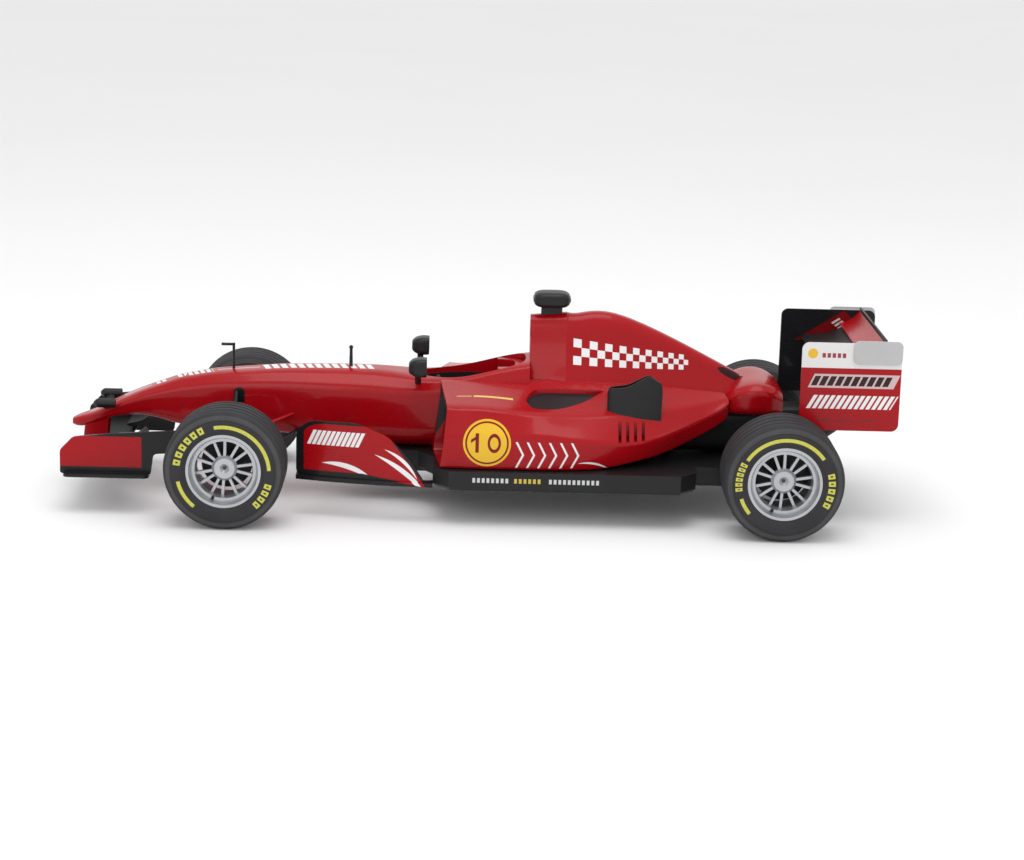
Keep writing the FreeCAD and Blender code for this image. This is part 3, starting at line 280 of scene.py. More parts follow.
def red_lacquer(name, marks=None):
    """Glossy moulded red plastic, with the piece's painted marks on top."""
    colours = bpy.context.scene.car_colours
    finish = Finish(name, {"Coat Weight": 0.2, "Coat Roughness": 0.06, "Specular IOR Level": 0.15})
    tone = finish.noise(60, 3)
    base = finish.mix(tone * 0.6, colours.body, shade(colours.body, 0.66))
    base = rubbed(finish, base, (0.62, 0.12, 0.12), 0.16)
    if marks:
        base = marks(finish, base, colours)
    swell = finish.noise(14, 1)
    relief = finish.bump(swell, 0.06, finish.bump(finish.noise(1.6, 2), 0.008))
    return finish.done(base, smudges(finish, 0.27, 0.14), relief)


def black_plastic(name, marks=None, tint=1.0, roughness=0.40, grain=0.02):
    """Satin black moulded plastic with a fine grain."""
    colours = bpy.context.scene.car_colours
    finish = Finish(name, {"Specular IOR Level": 0.3})
    tone = finish.noise(30, 3)
    base = finish.mix(tone, shade(colours.black, tint), shade(colours.black, tint * 1.8))
    base = rubbed(finish, base, (0.09, 0.09, 0.10), 0.3)
    if marks:
        base = marks(finish, base, colours)
    return finish.done(base, smudges(finish, roughness, 0.2), finish.bump(finish.noise(0.5, 2), grain))


def silver_lacquer(name, tint=1.0, roughness=0.34):
    """Silver paint on plastic, a little duller in random patches."""
    colours = bpy.context.scene.car_colours
    finish = Finish(name, {"Coat Weight": 0.2, "Coat Roughness": 0.2})
    tone = finish.noise(9, 3)
    base = finish.mix(tone, shade(colours.rim, tint), shade(colours.rim, tint * 0.78))
    metal = 0.75 + (tone - 0.5) * 0.2
    relief = finish.bump(finish.noise(0.35, 1), 0.01)
    return finish.done(base, smudges(finish, roughness, 0.14), relief, metal)


def pale_plastic(name):
    """Light grey satin plastic, a little darker in random patches."""
    finish = Finish(name, {"Specular IOR Level": 0.4})
    tone = finish.noise(12, 3)
    base = finish.mix(tone, (0.50, 0.50, 0.51), (0.42, 0.42, 0.42))
    base = rubbed(finish, base, (0.7, 0.7, 0.7), 0.4)
    return finish.done(base, smudges(finish, 0.38, 0.2), finish.bump(finish.noise(0.5, 2), 0.015))


def webbing(name, low, high, weave):
    """Soft belt cloth with a woven relief."""
    finish = Finish(name, {"Specular IOR Level": 0.2})
    base = finish.mix(finish.noise(8, 4), low, high)
    turns = 2 * math.pi / weave
    threads = (finish.x * turns).sine() * (finish.y * turns).sine()
    return finish.done(base, smudges(finish, 0.75, 0.2), finish.bump(threads, 0.05))


def lamp_lens(name):
    """Deep red clear lens with upright ribs, and a faint painted glow."""
    finish = Finish(name, {"Coat Weight": 0.8, "Coat Roughness": 0.05, "Emission Strength": 0.06})
    base = finish.mix(finish.noise(3, 2), (0.42, 0.004, 0.006), (0.25, 0.002, 0.003))
    # Painted glow: the lens gives off a faint light in its own red, though the lamp is not lit.
    finish.tree.links.new(base.socket, finish.shader.inputs["Emission Color"])
    ribs = (finish.y * 4).sine()
    return finish.done(base, smudges(finish, 0.15, 0.1), finish.bump(ribs, 0.1))


def dark_glass(name, low=(0.004, 0.005, 0.008), high=(0.012, 0.014, 0.02)):
    """Nearly black glass with a faint swell."""
    finish = Finish(name, {"Coat Weight": 1.0, "Coat Roughness": 0.03})
    tone = finish.noise(4, 2)
    relief = finish.bump(finish.noise(2, 1), 0.01)
    return finish.done(finish.mix(tone, low, high), smudges(finish, 0.12, 0.08), relief)


def mirror_glass(name):
    """Bright mirror with finger marks."""
    finish = Finish(name, {"Coat Weight": 0.5})
    tone = finish.noise(6, 2)
    base = finish.mix(tone, (0.80, 0.82, 0.84), (0.66, 0.68, 0.71))
    metal = 0.95 + (tone - 0.5) * 0.08
    return finish.done(base, smudges(finish, 0.10, 0.08), finish.bump(finish.noise(5, 1), 0.01), metal)


# Painted marks of single pieces, in mm. Each takes the finish, the colour below and the car's colours.

def painted_black(finish, colours):
    """The black lacquer beside the red, a little uneven."""
    return finish.mix(finish.noise(20, 3), colours.black, shade(colours.black, 1.8))


def cover_marks(finish, base, colours):
    """Chequered strip that narrows to the tail, and painted shade for the hole behind it."""
    back = -finish.x
    front, tail, foot, fall = 52.5, 118.5, 81.0, 0.042
    tall, taper, rows, rim = 14.5, 0.096, 3, 0.1
    lift = finish.z - (foot - (back - front) * fall)
    height = tall - (back - front) * taper
    column = ((math.log(tall) - height.log()) * (rows / taper)).floor()
    row = (lift / height * rows).floor()
    strip = band(back, front + rim, tail) * band(lift, rim, height - rim) * (1 - (column + row) % 2)
    base = finish.mix(strip, base, colours.white)
    # Painted shade: a dark slanted oval where the hole behind the strip lies.
    half_length, half_height = 8, 2
    along, across = slanted(back, finish.z, centre=(143, 75.6), angle=26.8)
    painted_hole_shade = below(distance(along / half_length, across / half_height), 1, 0.08)
    return finish.mix(painted_hole_shade, base, (0.025, 0.001, 0.002))


def numeral(u, v, size, stroke):
    """The plain number 10 about the origin. Its places are shares of its height."""
    top, stem, tip, flag_z, nought_u = size / 2, -size * 0.55, -size * 0.78, size * 0.66, size * 0.22
    one = band(u, stem - stroke, stem) * band(v, -top, top)
    flag = band(u, tip - stroke, stem) * band(v - u * 0.7, flag_z, flag_z + stroke) * below(v, top)
    away = distance((u - nought_u) * 1.5, v)
    nought = band(away, top - stroke * 1.05, top)
    return one | flag | nought


def roundel(finish, base, colours, flank):
    """Yellow disc with a thin ring and a plain number on the flank."""
    middle_back, middle_z, disc_r, ring_r, ring_w, number_shift = 4.6, 46.4, 13.2, 11.0, 1.0, 1.6
    along, up = -finish.x - middle_back, finish.z - middle_z
    away = distance(along, up)
    disc = below(away, disc_r) * flank
    base = finish.mix(disc, base, colours.mark)
    ring = band(away, ring_r, ring_r + ring_w)
    to_the_right = along * finish.y.sign()
    number = numeral(to_the_right - number_shift, up, size=11.0, stroke=1.9)
    return finish.mix((ring | number) * disc, base, (0.20, 0.004, 0.006))


def inlet_shadow(finish):
    """Inside of the inlet: behind its slanted mouth, under the roof and inboard of the flank."""
    x, v, out = finish.x, finish.z, abs(finish.y)
    flank = (61.7 + (v - 31) * 0.096) & (63.4 - (v - 48.2) * 0.249)
    roof = 64.4 + (60 - out) * 0.14
    mouth = 52.6 - (x - 17.7) * 1.68
    back_wall, front_edge = -7, 16
    inside = below(back_wall, x) * below(out, flank) * below(v, roof)
    return inside * (below(x, front_edge, 1.0) | below(mouth, v, 1.0))


def pod_marks(finish, base, colours):
    """Roundel, thin chevrons, a swoosh, gold dashes on top, black low down, and painted shade inside the
    inlet.
    """
    back, v, out = -finish.x, finish.z, abs(finish.y)
    flank_y, top_z, chevron_z = 50, 60, 40.2
    flank = below(flank_y, out, 1.0)
    base = roundel(finish, base, colours, flank)
    from_middle = abs(v - chevron_z)
    chevrons = bars(back, from_middle, start=24.5, end=57, low=-1, high=7.4, pitch=6.1, fill=0.2, slant=-0.5)
    swoosh = crescent(back, v, start=(55, 35.4), end=(72.5, 31.6), bulge=2.4, hollow=1.2)
    base = finish.mix((chevrons | swoosh) * flank, base, colours.white)
    long_dash = band(back, -3.3, 18.6) * band(out, 42.0, 44.2)
    short_dash = band(back, -12.8, -4.4) * band(out, 42.7, 43.6)
    base = finish.mix((long_dash | short_dash) * below(top_z, v, 1.0), base, (0.75, 0.52, 0.10))
    low_edge = 31.6 + ((back - 70) | 0) * 0.13
    # Black below the low edge, and painted shade inside the inlet.
    return finish.mix(below(v, low_edge, 0.3) | inlet_shadow(finish), base, painted_black(finish, colours))


def endplate_outside(finish, base, colours):
    """White band with a yellow dot and dashes, dark slants on a pale strip, and a row of white bars."""
    back, v, lean = -finish.x, finish.z, 0.45
    white_foot, dot_back, dot_z, dot_r = 90.4, 183.4, 98.4, 2.8
    base = finish.mix(below(white_foot, v), base, (0.72, 0.71, 0.70))
    dot = below(distance(back - dot_back, v - dot_z), dot_r)
    base = finish.mix(dot, base, colours.mark)
    dashes = bars(back, v, start=188.6, end=202.4, low=96.2, high=98.8, pitch=2.8, fill=0.7)
    base = finish.mix(dashes, base, (0.30, 0.05, 0.06))
    strip = bars(back, v, start=181.4, end=229, low=79.2, high=87.0, pitch=60, fill=1.0, slant=lean)
    base = finish.mix(strip * 0.55, base, colours.white)
    slants = bars(back, v, start=183, end=227, low=80.4, high=85.8, pitch=4.4, fill=0.74, slant=lean)
    base = finish.mix(slants, base, (0.03, 0.012, 0.012))
    row = bars(back, v, start=181, end=228, low=67.4, high=75.0, pitch=3.3, fill=0.66, slant=0.55)
    base = finish.mix(row, base, colours.white)
    lowest = bars(back, v, start=187, end=220, low=60.2, high=61.4, pitch=12, fill=0.75)
    return finish.mix(lowest * 0.6, base, (0.12, 0.02, 0.03))


def endplate_inside(finish, colours):
    """Black with a red peak that slanted white bars cross. The peak's red is the body red at under half its
    strength: painted shade on the inner face.
    """
    back, v = -finish.x, finish.z
    foot = 86
    rise = 86.3 + (back - 186.6) * 0.632
    drop = 104 - (back - 214.6)
    peak = below(v, rise, 0.4) * below(v, drop, 0.4) * below(foot, v)
    # The peak is a darker copy of the body red: painted shade on the inner face.
    base = finish.mix(peak, painted_black(finish, colours), shade(colours.body, 0.45))
    along, across = slanted(back, v, centre=(208.8, 98.7), angle=39.7)
    row = bars(along, across, start=0, end=21, low=-2.6, high=2.6, pitch=2.4, fill=0.55, slant=0.3)
    return finish.mix(row * peak * 0.7, base, colours.white)


def endplate_marks(finish, base, colours):
    """Marks on the outer face of the rear wing's plate, and others inside."""
    inner_face, outer_face = (corner.y for corner in corners("rear_endplate_left"))
    inside = endplate_inside(finish, colours)
    outside = endplate_outside(finish, base, colours)
    return finish.mix(below((inner_face + outer_face) / 2, abs(finish.y), 0.1), inside, outside)


def front_plate_marks(finish, base, colours):
    """Red on the outer face ahead of the tyre; black along the top, at the rear and inside."""
    rear, foot, top, skin = 186.8, 25.2, 42.6, 0.8
    outer_face = corners("front_endplate_left")[0].y + skin
    panel = below(rear, finish.x, 0.3) * band(finish.z, foot, top, 0.3)
    red = panel * below(outer_face, abs(finish.y), 0.3)
    return finish.mix(red, painted_black(finish, colours), base)


def barge_marks(finish, base, colours):
    """Black frame round the red panel, and on its outer face white bars and three crescents."""
    x, back, v = finish.x, -finish.x, finish.z
    floor_line = (20.0 + (x - 29.4) * 0.163) & 25.6
    tail_line = 20.6 + (x - 29.4) * 1.32
    corner = distance(((x - 84.5) | 0) / 12.6, ((v - 46.2) | 0) / 6.2)
    panel = below(floor_line, v, 0.3) * below(v, tail_line, 0.3) * below(corner, 1, 0.03)
    front = corners("bargeboard_left")[1].x
    length_x, front_y, flare, bow, thick = 73.5, 47.8, 23, 10, 1.2
    share = (front - x) / length_x
    outward = abs(finish.y) - (front_y + share * flare - share * share * bow)
    base = finish.mix(panel * below(-thick, outward, 0.3), painted_black(finish, colours), base)
    marks = bars(back, v, start=-95.4, end=-65.8, low=40.4, high=48.6, pitch=2.7, fill=0.74, slant=0.45)
    sweeps = (
        ((-87, 30.2), (-58, 22.2), 4.3, 1.4), ((-57.4, 37), (-27, 13.8), 4.0, 1.3),
        ((-52, 40.2), (-33.6, 23.8), 3.3, 1.4),
    )
    for start, end, bulge, hollow in sweeps:
        marks = marks | crescent(back, v, start, end, bulge, hollow)
    return finish.mix(marks * panel * below(0, outward, 0.3), base, colours.white)


def crown_dashes(finish, start, end, half_width, pitch):
    """One row of dashes along the middle of the upper side."""
    upper_z = 58
    row = bars(-finish.x, finish.y, -end, -start, -half_width, half_width, pitch, fill=0.66, slant=0.25)
    return row * below(upper_z, finish.z, 0.5)


def nose_marks(finish, base, colours):
    """Two short rows of dashes and a pair of thin lines to the nose's tip."""
    marks = crown_dashes(finish, 180, 186, half_width=3.5, pitch=3.2)
    marks = marks | crown_dashes(finish, 168, 174, half_width=4.5, pitch=3.4)
    lines = band(finish.x, 188, 226) * band(abs(finish.y), 1.2, 1.9) * below(44, finish.z, 0.5)
    return finish.mix(marks | lines, base, colours.white)


def tub_marks(finish, base, colours):
    """Dashes and a thin line along the crown, and painted shade for the slots that the push rods enter."""
    marks = crown_dashes(finish, 154, 168, half_width=4.5, pitch=3.4)
    marks = marks | crown_dashes(finish, 61.5, 125, half_width=5.5, pitch=4.9)
    line = band(finish.x, 126, 150) * band(abs(finish.y), 0, 0.9) * below(60, finish.z)
    base = finish.mix(marks | (line * 0.6), base, colours.white)
    # Painted shade: black patches where the slots that the push rods enter lie.
    slot_x, slot_r, foot, round_from, top = 136.4, 3.2, 54.8, 60.4, 64
    away = distance((finish.x - slot_x) / slot_r, ((finish.z - round_from) | 0) / slot_r)
    slot = below(away, 1, 0.08) * band(finish.z, foot, top)
    return finish.mix(slot, base, colours.black)


def floor_marks(finish, base, colours):
    """Short dashes along the floor's side, pale ones and a yellow row between them."""
    eased = 2.5
    side = below(corners("floor")[1].y - eased, abs(finish.y), 0.5)

    def row(start, end):
        return bars(-finish.x, finish.z, start, end, low=25.0, high=27.6, pitch=2.6) * side

    base = finish.mix(row(-3, 17) | row(39.2, 67), base, (0.55, 0.56, 0.56))
    return finish.mix(row(20, 35.2), base, (0.55, 0.42, 0.06))


# Pieces made from listed points

def rest():
    """Leaves edit mode with nothing selected."""
    if bpy.context.object and bpy.context.object.mode == "EDIT":
        bpy.ops.object.mode_set(mode="OBJECT")
    bpy.ops.object.select_all(action="DESELECT")


def metres(point):
    """A place or a shift in mm as Blender takes it."""
    return Vector(point) * MM


def lathe(name, profile, centre, steps, axis="y"):
    """Draws a profile of (along the axis, radius) points in mm by extrusion and spins it."""
    rest()
    middle = metres(centre)
    bpy.ops.mesh.primitive_plane_add(size=MM, location=middle)
    piece = bpy.context.object
    piece.name = name
    along = Vector((axis == "x", axis == "y", axis == "z"))
    out = Vector((1, 0, 0)) if axis == "z" else Vector((0, 0, 1))
    points = [metres(along * place + out * radius) for place, radius in profile]
    bpy.ops.object.mode_set(mode="EDIT")
    bpy.ops.mesh.select_mode(type="VERT")
    bpy.ops.mesh.merge(type="CENTER")
    bpy.ops.transform.translate(value=points[0])
    for before, after in zip(points, points[1:]):
        bpy.ops.mesh.extrude_region_move(TRANSFORM_OT_translate={"value": after - before})
    bpy.ops.mesh.select_all(action="SELECT")
    bpy.ops.mesh.spin(steps=steps, angle=math.radians(360), center=middle, axis=along)
    bpy.ops.mesh.select_all(action="SELECT")
    bpy.ops.mesh.remove_doubles(threshold=0.002 * MM)
    bpy.ops.mesh.normals_make_consistent(inside=False)
    rest()
    return piece


def block(name, low, high, edge):
    """Cube drawn out to the box between two corners in mm, with eased edges; stays in edit mode."""
    rest()
    low, high = metres(low), metres(high)
    middle = (low + high) / 2
    bpy.ops.mesh.primitive_cube_add(size=1, location=middle)
    piece = bpy.context.object
    piece.name = name
    bpy.ops.object.mode_set(mode="EDIT")
    bpy.ops.mesh.select_all(action="SELECT")
    bpy.ops.transform.resize(value=high - low, center_override=middle)
    bpy.ops.mesh.bevel(offset=edge * MM, segments=2, affect="EDGES")
    return piece


def tilt(degrees, axis, centre):
    """Turns the whole piece in edit mode by degrees about a place in mm."""
    bpy.ops.mesh.select_all(action="SELECT")
    bpy.ops.transform.rotate(value=math.radians(degrees), orient_axis=axis, center_override=metres(centre))


def faces_tail(normal):
    return normal.x < -0.9


def pick(piece, test):
    """Selects the faces whose normal passes the test."""
    bpy.ops.mesh.select_mode(type="FACE")
    bpy.ops.mesh.select_all(action="DESELECT")
    bpy.ops.object.mode_set(mode="OBJECT")
    for face in piece.data.polygons:
        face.select = bool(test(face.normal))
    bpy.ops.object.mode_set(mode="EDIT")


def sink(piece, test, rim, depth):
    """Insets the faces that pass the test and pushes them in along their normal."""
    pick(piece, test)
    bpy.ops.mesh.inset(thickness=rim * MM)
    bpy.ops.mesh.extrude_region_shrink_fatten(TRANSFORM_OT_shrink_fatten={"value": depth * MM})


def settle(piece, body, slot, material, smooth=35):
    """Puts the place into the mesh, and gives the piece its shading, finish and body."""
    rest()
    piece.select_set(True)
    bpy.context.view_layer.objects.active = piece
    bpy.ops.object.transform_apply(location=True, rotation=True, scale=True)
    bpy.ops.object.shade_smooth_by_angle(angle=math.radians(smooth))
    piece.data.materials.clear()
    piece.data.materials.append(material)
    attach(piece, body)
    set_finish(piece, slot)
    piece.select_set(False)
    return piece


def repeat(piece, name, body, shift=(0, 0, 0), mirror=False):
    """Copy of a settled piece with its own mesh, moved by mm or mirrored to the other side."""
    rest()
    piece.select_set(True)
    bpy.context.view_layer.objects.active = piece
    bpy.ops.object.duplicate(linked=False)
    copy = bpy.context.object
    copy.name = name
    bpy.ops.object.mode_set(mode="EDIT")
    bpy.ops.mesh.select_all(action="SELECT")
    bpy.ops.transform.translate(value=metres(shift))
    if mirror:
        bpy.ops.transform.mirror(constraint_axis=(False, True, False), center_override=(0, 0, 0))
        bpy.ops.mesh.normals_make_consistent(inside=False)
    rest()
    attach(copy, body)
    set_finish(copy, piece["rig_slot"])
    return copy


def tyre_profile(width, grooves, depth, groove_w):
    """Half section in mm from the inner bead over the tread to the outer bead.

    Its side goes in from the tyre's face and down from the tread.
    """
    outer = HALF_WIDTH
    inner = outer - width
    side = (
        (1.6, 12.7), (0.9, 12.1), (0.7, 11.0), (0.1, 10.4), (0.0, 7.5), (0.0, 5.6),
        (0.5, 5.0), (0.5, 4.0), (0.9, 3.6), (1.1, 2.4), (1.8, 1.3), (2.8, 0.6), (4.2, 0.1),
    )
    shoulder = 4.6
    groove_shares = ((-0.5, 0), (-0.36, 1), (0.36, 1), (0.5, 0))
    points = [(inner + aside, TYRE_R - drop) for aside, drop in side]
    pitch = (width - 2 * shoulder) / grooves
    for i in range(grooves):
        middle = inner + shoulder + pitch * (i + 0.5)
        for shift, drop in groove_shares:
            points.append((middle + groove_w * shift, TYRE_R - depth * drop))
    points += [(outer - aside, TYRE_R - drop) for aside, drop in reversed(side)]
    return points


def side_wall_marks(radius, angle, arcs, blocks):
    """Thin arcs, and rows of blocks with a window, round the side wall; their places are in degrees."""
    stripe = band(radius, 24.0, 26.0)
    marks = [stripe * band((angle - start) % 360, 0, end - start, 1.2) for start, end in arcs]
    for start, end, count in blocks:
        turn = (angle - start) % 360
        pitch = (end - start) / count
        step = turn % pitch
        letter = band(step, pitch * 0.16, pitch * 0.84, 0.5) * band(radius, 23.5, 27.3)
        window = band(step, pitch * 0.40, pitch * 0.60, 0.5) * band(radius, 24.7, 26.1)
        marks.append(letter * (1 - window) * band(turn, 0, end - start, 0.4))
    return reduce(or_, marks)


def tyre_rubber(name, axle_x, arcs, blocks):
    """Dark rubber with yellow arcs and blocks on the side wall, and a paler ring at the shoulder: a painted
    highlight where the side wall rounds into the tread.
    """
    colours = bpy.context.scene.car_colours
    finish = Finish(name, {"Specular IOR Level": 0.25})
    u = (finish.x - axle_x) * -finish.y.sign()
    v = finish.z - AXLE_Z
    radius = distance(u, v)
    tone = finish.noise(12, 4)
    base = finish.mix(tone, colours.tyre, shade(colours.tyre, 1.9))
    # Painted highlight: a paler ring where the side wall rounds into the tread.
    shoulder = band(radius, 28.9, 31.2, 0.7) * (0.2 + tone * 0.3)
    base = finish.mix(shoulder, base, (0.12, 0.117, 0.115))
    outside = below(HALF_WIDTH - 3.5, abs(finish.y))
    marks = side_wall_marks(radius, bearing(u, v), arcs, blocks)
    wear = (finish.noise(1.2, 3) * 1.6).clamp()
    base = finish.mix(marks * outside * (0.7 + wear * 0.3), base, colours.tyre_mark)
    ring_pitch = 0.9
    ripple = (radius * (2 * math.pi / ring_pitch)).sine() * outside
    relief = finish.bump(finish.noise(0.7, 3), 0.05, finish.bump(ripple, 0.03))
    return finish.done(base, smudges(finish, 0.68, 0.2), relief)


def paint(node, material):
    """Gives a node of the frame its finish."""
    data = NODES[node].data
    data.materials.clear()
    data.materials.append(material)


# Sizes and colours a user would change

def colour(name, description, default):
    return bpy.props.FloatVectorProperty(
        name=name, description=description, subtype="COLOR", size=3, min=0, max=1, default=default)


def length(name, description, default):
    return bpy.props.FloatProperty(name=name, description=description, unit="LENGTH", min=0, default=default)


class CarColours(bpy.types.PropertyGroup):
    body: colour("Body", "Lacquer of the body", (0.38, 0.002, 0.006))
    black: colour("Black", "Floor, wings and mirrors", (0.007, 0.007, 0.008))
    rim: colour("Rims", "Silver of the rims", (0.52, 0.53, 0.55))
    tyre: colour("Tyres", "Rubber of the tyres", (0.020, 0.020, 0.022))
    mark: colour("Roundel", "Roundel and dots on the body", (0.76, 0.46, 0.03))
    tyre_mark: colour("Tyre marks", "Arcs and blocks on the tyres", (0.58, 0.56, 0.09))
    white: colour("White", "Stripes and bars", (0.80, 0.80, 0.80))


class CarSizes(bpy.types.PropertyGroup):
    groove: length("Groove width", "Width of a tread groove", 1.6 * MM)
    groove_depth: length("Groove depth", "Depth of a tread groove", 0.7 * MM)


def angle(name, description, degrees):
    return bpy.props.FloatProperty(
        name=name, description=description, subtype="ANGLE", default=math.radians(degrees))


class CarView(bpy.types.PropertyGroup):
    lens: bpy.props.FloatProperty(name="Lens", description="Focal length in mm", default=86.06, min=20)
    distance: length("Distance", "From the camera to the car", 1.412)
    azimuth: angle("Swing", "Swing of the camera towards the nose", 0.93)
    elevation: angle("Height", "Angle above the ground", 13.6)
    roll: angle("Roll", "Tilt of the picture", 1.57)


# Operators, one for each piece or group of like pieces

class CAR_OT_body_finish(bpy.types.Operator):
    """Paints the nodes of the body"""
    bl_idname = "car.body_finish"
    bl_label = "Body finish"

    def execute(self, context):
        finishes = {
            "red_lacquer": red_lacquer("red_lacquer"),
            "black_plastic": black_plastic("black_plastic"),
            "cockpit_black": black_plastic("cockpit_black", tint=0.7, roughness=0.6, grain=0.04),
            "mesh_black": black_plastic("mesh_black", tint=0.6, roughness=0.55, grain=0.06),
            "pale_grey": pale_plastic("pale_grey"),
            "lamp_red": lamp_lens("lamp_red"),
            "rim_silver": silver_lacquer("rim_silver"),
            "pin_steel": silver_lacquer("pin_steel", tint=0.6, roughness=0.28),
        }
        marked = {
            "engine_cover": cover_marks, "side_pod_left": pod_marks, "side_pod_right": pod_marks,
            "rear_endplate_left": endplate_marks, "rear_endplate_right": endplate_marks,
            "front_endplate_left": front_plate_marks, "front_endplate_right": front_plate_marks,
            "bargeboard_left": barge_marks, "bargeboard_right": barge_marks,
            "nose_cone": nose_marks, "cockpit_tub": tub_marks,
        }
        lacquers = {marks: red_lacquer(marks.__name__, marks) for marks in marked.values()}
        skirt = black_plastic("floor_marks", floor_marks)
        for node in NODES:
            if node in marked:
                paint(node, lacquers[marked[node]])
            elif node == "floor":
                paint(node, skirt)
            elif SLOTS[node] in finishes:
                paint(node, finishes[SLOTS[node]])
        return {"FINISHED"}


class CAR_OT_tyres(bpy.types.Operator):
    """Adds the grooved tyres with their side wall marks"""
    bl_idname = "car.tyres"
    bl_label = "Tyres"

    def execute(self, context):
        sizes = context.scene.car_sizes
        groove, depth = sizes.groove / MM, sizes.groove_depth / MM
        marks = {
            "front": (((3, 101), (193, 231)), ((113, 174, 6), (311, 347, 4))),
            "rear": (((36, 148), (199, 221)), ((152, 190, 6), (330, 377, 5))),
        }
        for end, axle_x in AXLES:
            arcs, blocks = marks[end]
            rubber = tyre_rubber("tyre_rubber_" + end, axle_x, arcs, blocks)
            low, high = corners(f"tyre_{end}_left")
            profile = tyre_profile(high.y - low.y, grooves=4, depth=depth, groove_w=groove)
            for name, side in SIDES:
                section = [(along * side, radius) for along, radius in profile]
                ring = lathe(f"grooved_tyre_{end}_{name}", section, (axle_x, 0, AXLE_Z), steps=112)
                settle(ring, f"wheel_{end}_{name}", "tyre_rubber", rubber)
                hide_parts(f"tyre_{end}_{name}")
        return {"FINISHED"}


class CAR_OT_wheel_fittings(bpy.types.Operator):
    """Adds the hub screws and valves of the wheels"""
    bl_idname = "car.wheel_fittings"
    bl_label = "Wheel fittings"

    def execute(self, context):
        # The hub screw is drawn nearly black: painted shade for the hole at the hub's centre.
        steel = silver_lacquer("hub_screw_painted_shade", tint=0.12, roughness=0.3)
        rubber = black_plastic("valve_rubber", tint=1.5, roughness=0.6)
        hub_face, rim_well = HALF_WIDTH - 10.1, HALF_WIDTH - 7
        valve_x, valve_drop = 6, 15.6
        head = ((0.4, 0.0), (0.45, 0.5), (0.3, 0.9), (0.0, 1.0), (0.0, 0.0))
        stem = ((3.4, 0.0), (3.6, 0.4), (3.4, 0.6), (2.2, 0.65), (2.0, 0.9), (0.0, 0.95), (0.0, 0.0))
        for end, axle_x in AXLES:
            for name, side in SIDES:
                body = f"wheel_{end}_{name}"
                section = [((hub_face + along) * side, radius) for along, radius in head]
                screw = lathe(f"hub_screw_{end}_{name}", section, (axle_x, 0, AXLE_Z), steps=20)
                settle(screw, body, "pin_steel", steel)
                section = [((rim_well + along) * side, radius) for along, radius in stem]
                place = (axle_x + valve_x, 0, AXLE_Z - valve_drop)
                valve = lathe(f"valve_{end}_{name}", section, place, steps=14)
                settle(valve, body, "tyre_rubber", rubber)
        return {"FINISHED"}


class CAR_OT_glass(bpy.types.Operator):
    """Adds the mirror glasses and the lenses of the cameras"""
    bl_idname = "car.glass"
    bl_label = "Mirrors and lenses"

    def execute(self, context):
        glass = block("mirror_glass_left", low=(30.6, 26.2, 77.2), high=(31.4, 35.8, 84.8), edge=0.35)
        sink(glass, faces_tail, rim=0.5, depth=0.12)
        settle(glass, "chassis", "rim_silver", mirror_glass("mirror_glass"))
        repeat(glass, "mirror_glass_right", "chassis", mirror=True)
        tinted = dark_glass("camera_lens")
        dome = (
            (0.75, 0.0), (0.65, 0.6), (0.35, 1.1), (0.35, 1.3),
            (0.5, 1.4), (0.4, 1.6), (-0.6, 1.6), (-0.6, 0.0),
        )
        tail_dome = [(-along, radius) for along, radius in dome]
        small_dome = [(along, radius * 0.8) for along, radius in dome]
        pod_low, pod_high = corners("camera_pod")
        lens_y, lens_z, proud = 2.6, 116, 0.1
        nose = corners("nose_cameras")[1]
        nose_r, nose_sunk = 2.6, 0.3
        lenses = (
            ("camera_lens_front", dome, (pod_high.x + proud, lens_y, lens_z), 24),
            ("camera_lens_back", tail_dome, (pod_low.x - proud, lens_y, lens_z), 24),
            ("nose_lens", small_dome, (nose.x - nose_sunk, nose.y - nose_r, nose.z - nose_r), 20),
        )
        for name, profile, place, steps in lenses:
            lens = lathe(name + "_left", profile, place, steps, "x")
            settle(lens, "chassis", "cockpit_black", tinted)
            repeat(lens, name + "_right", "chassis", mirror=True)
        return {"FINISHED"}


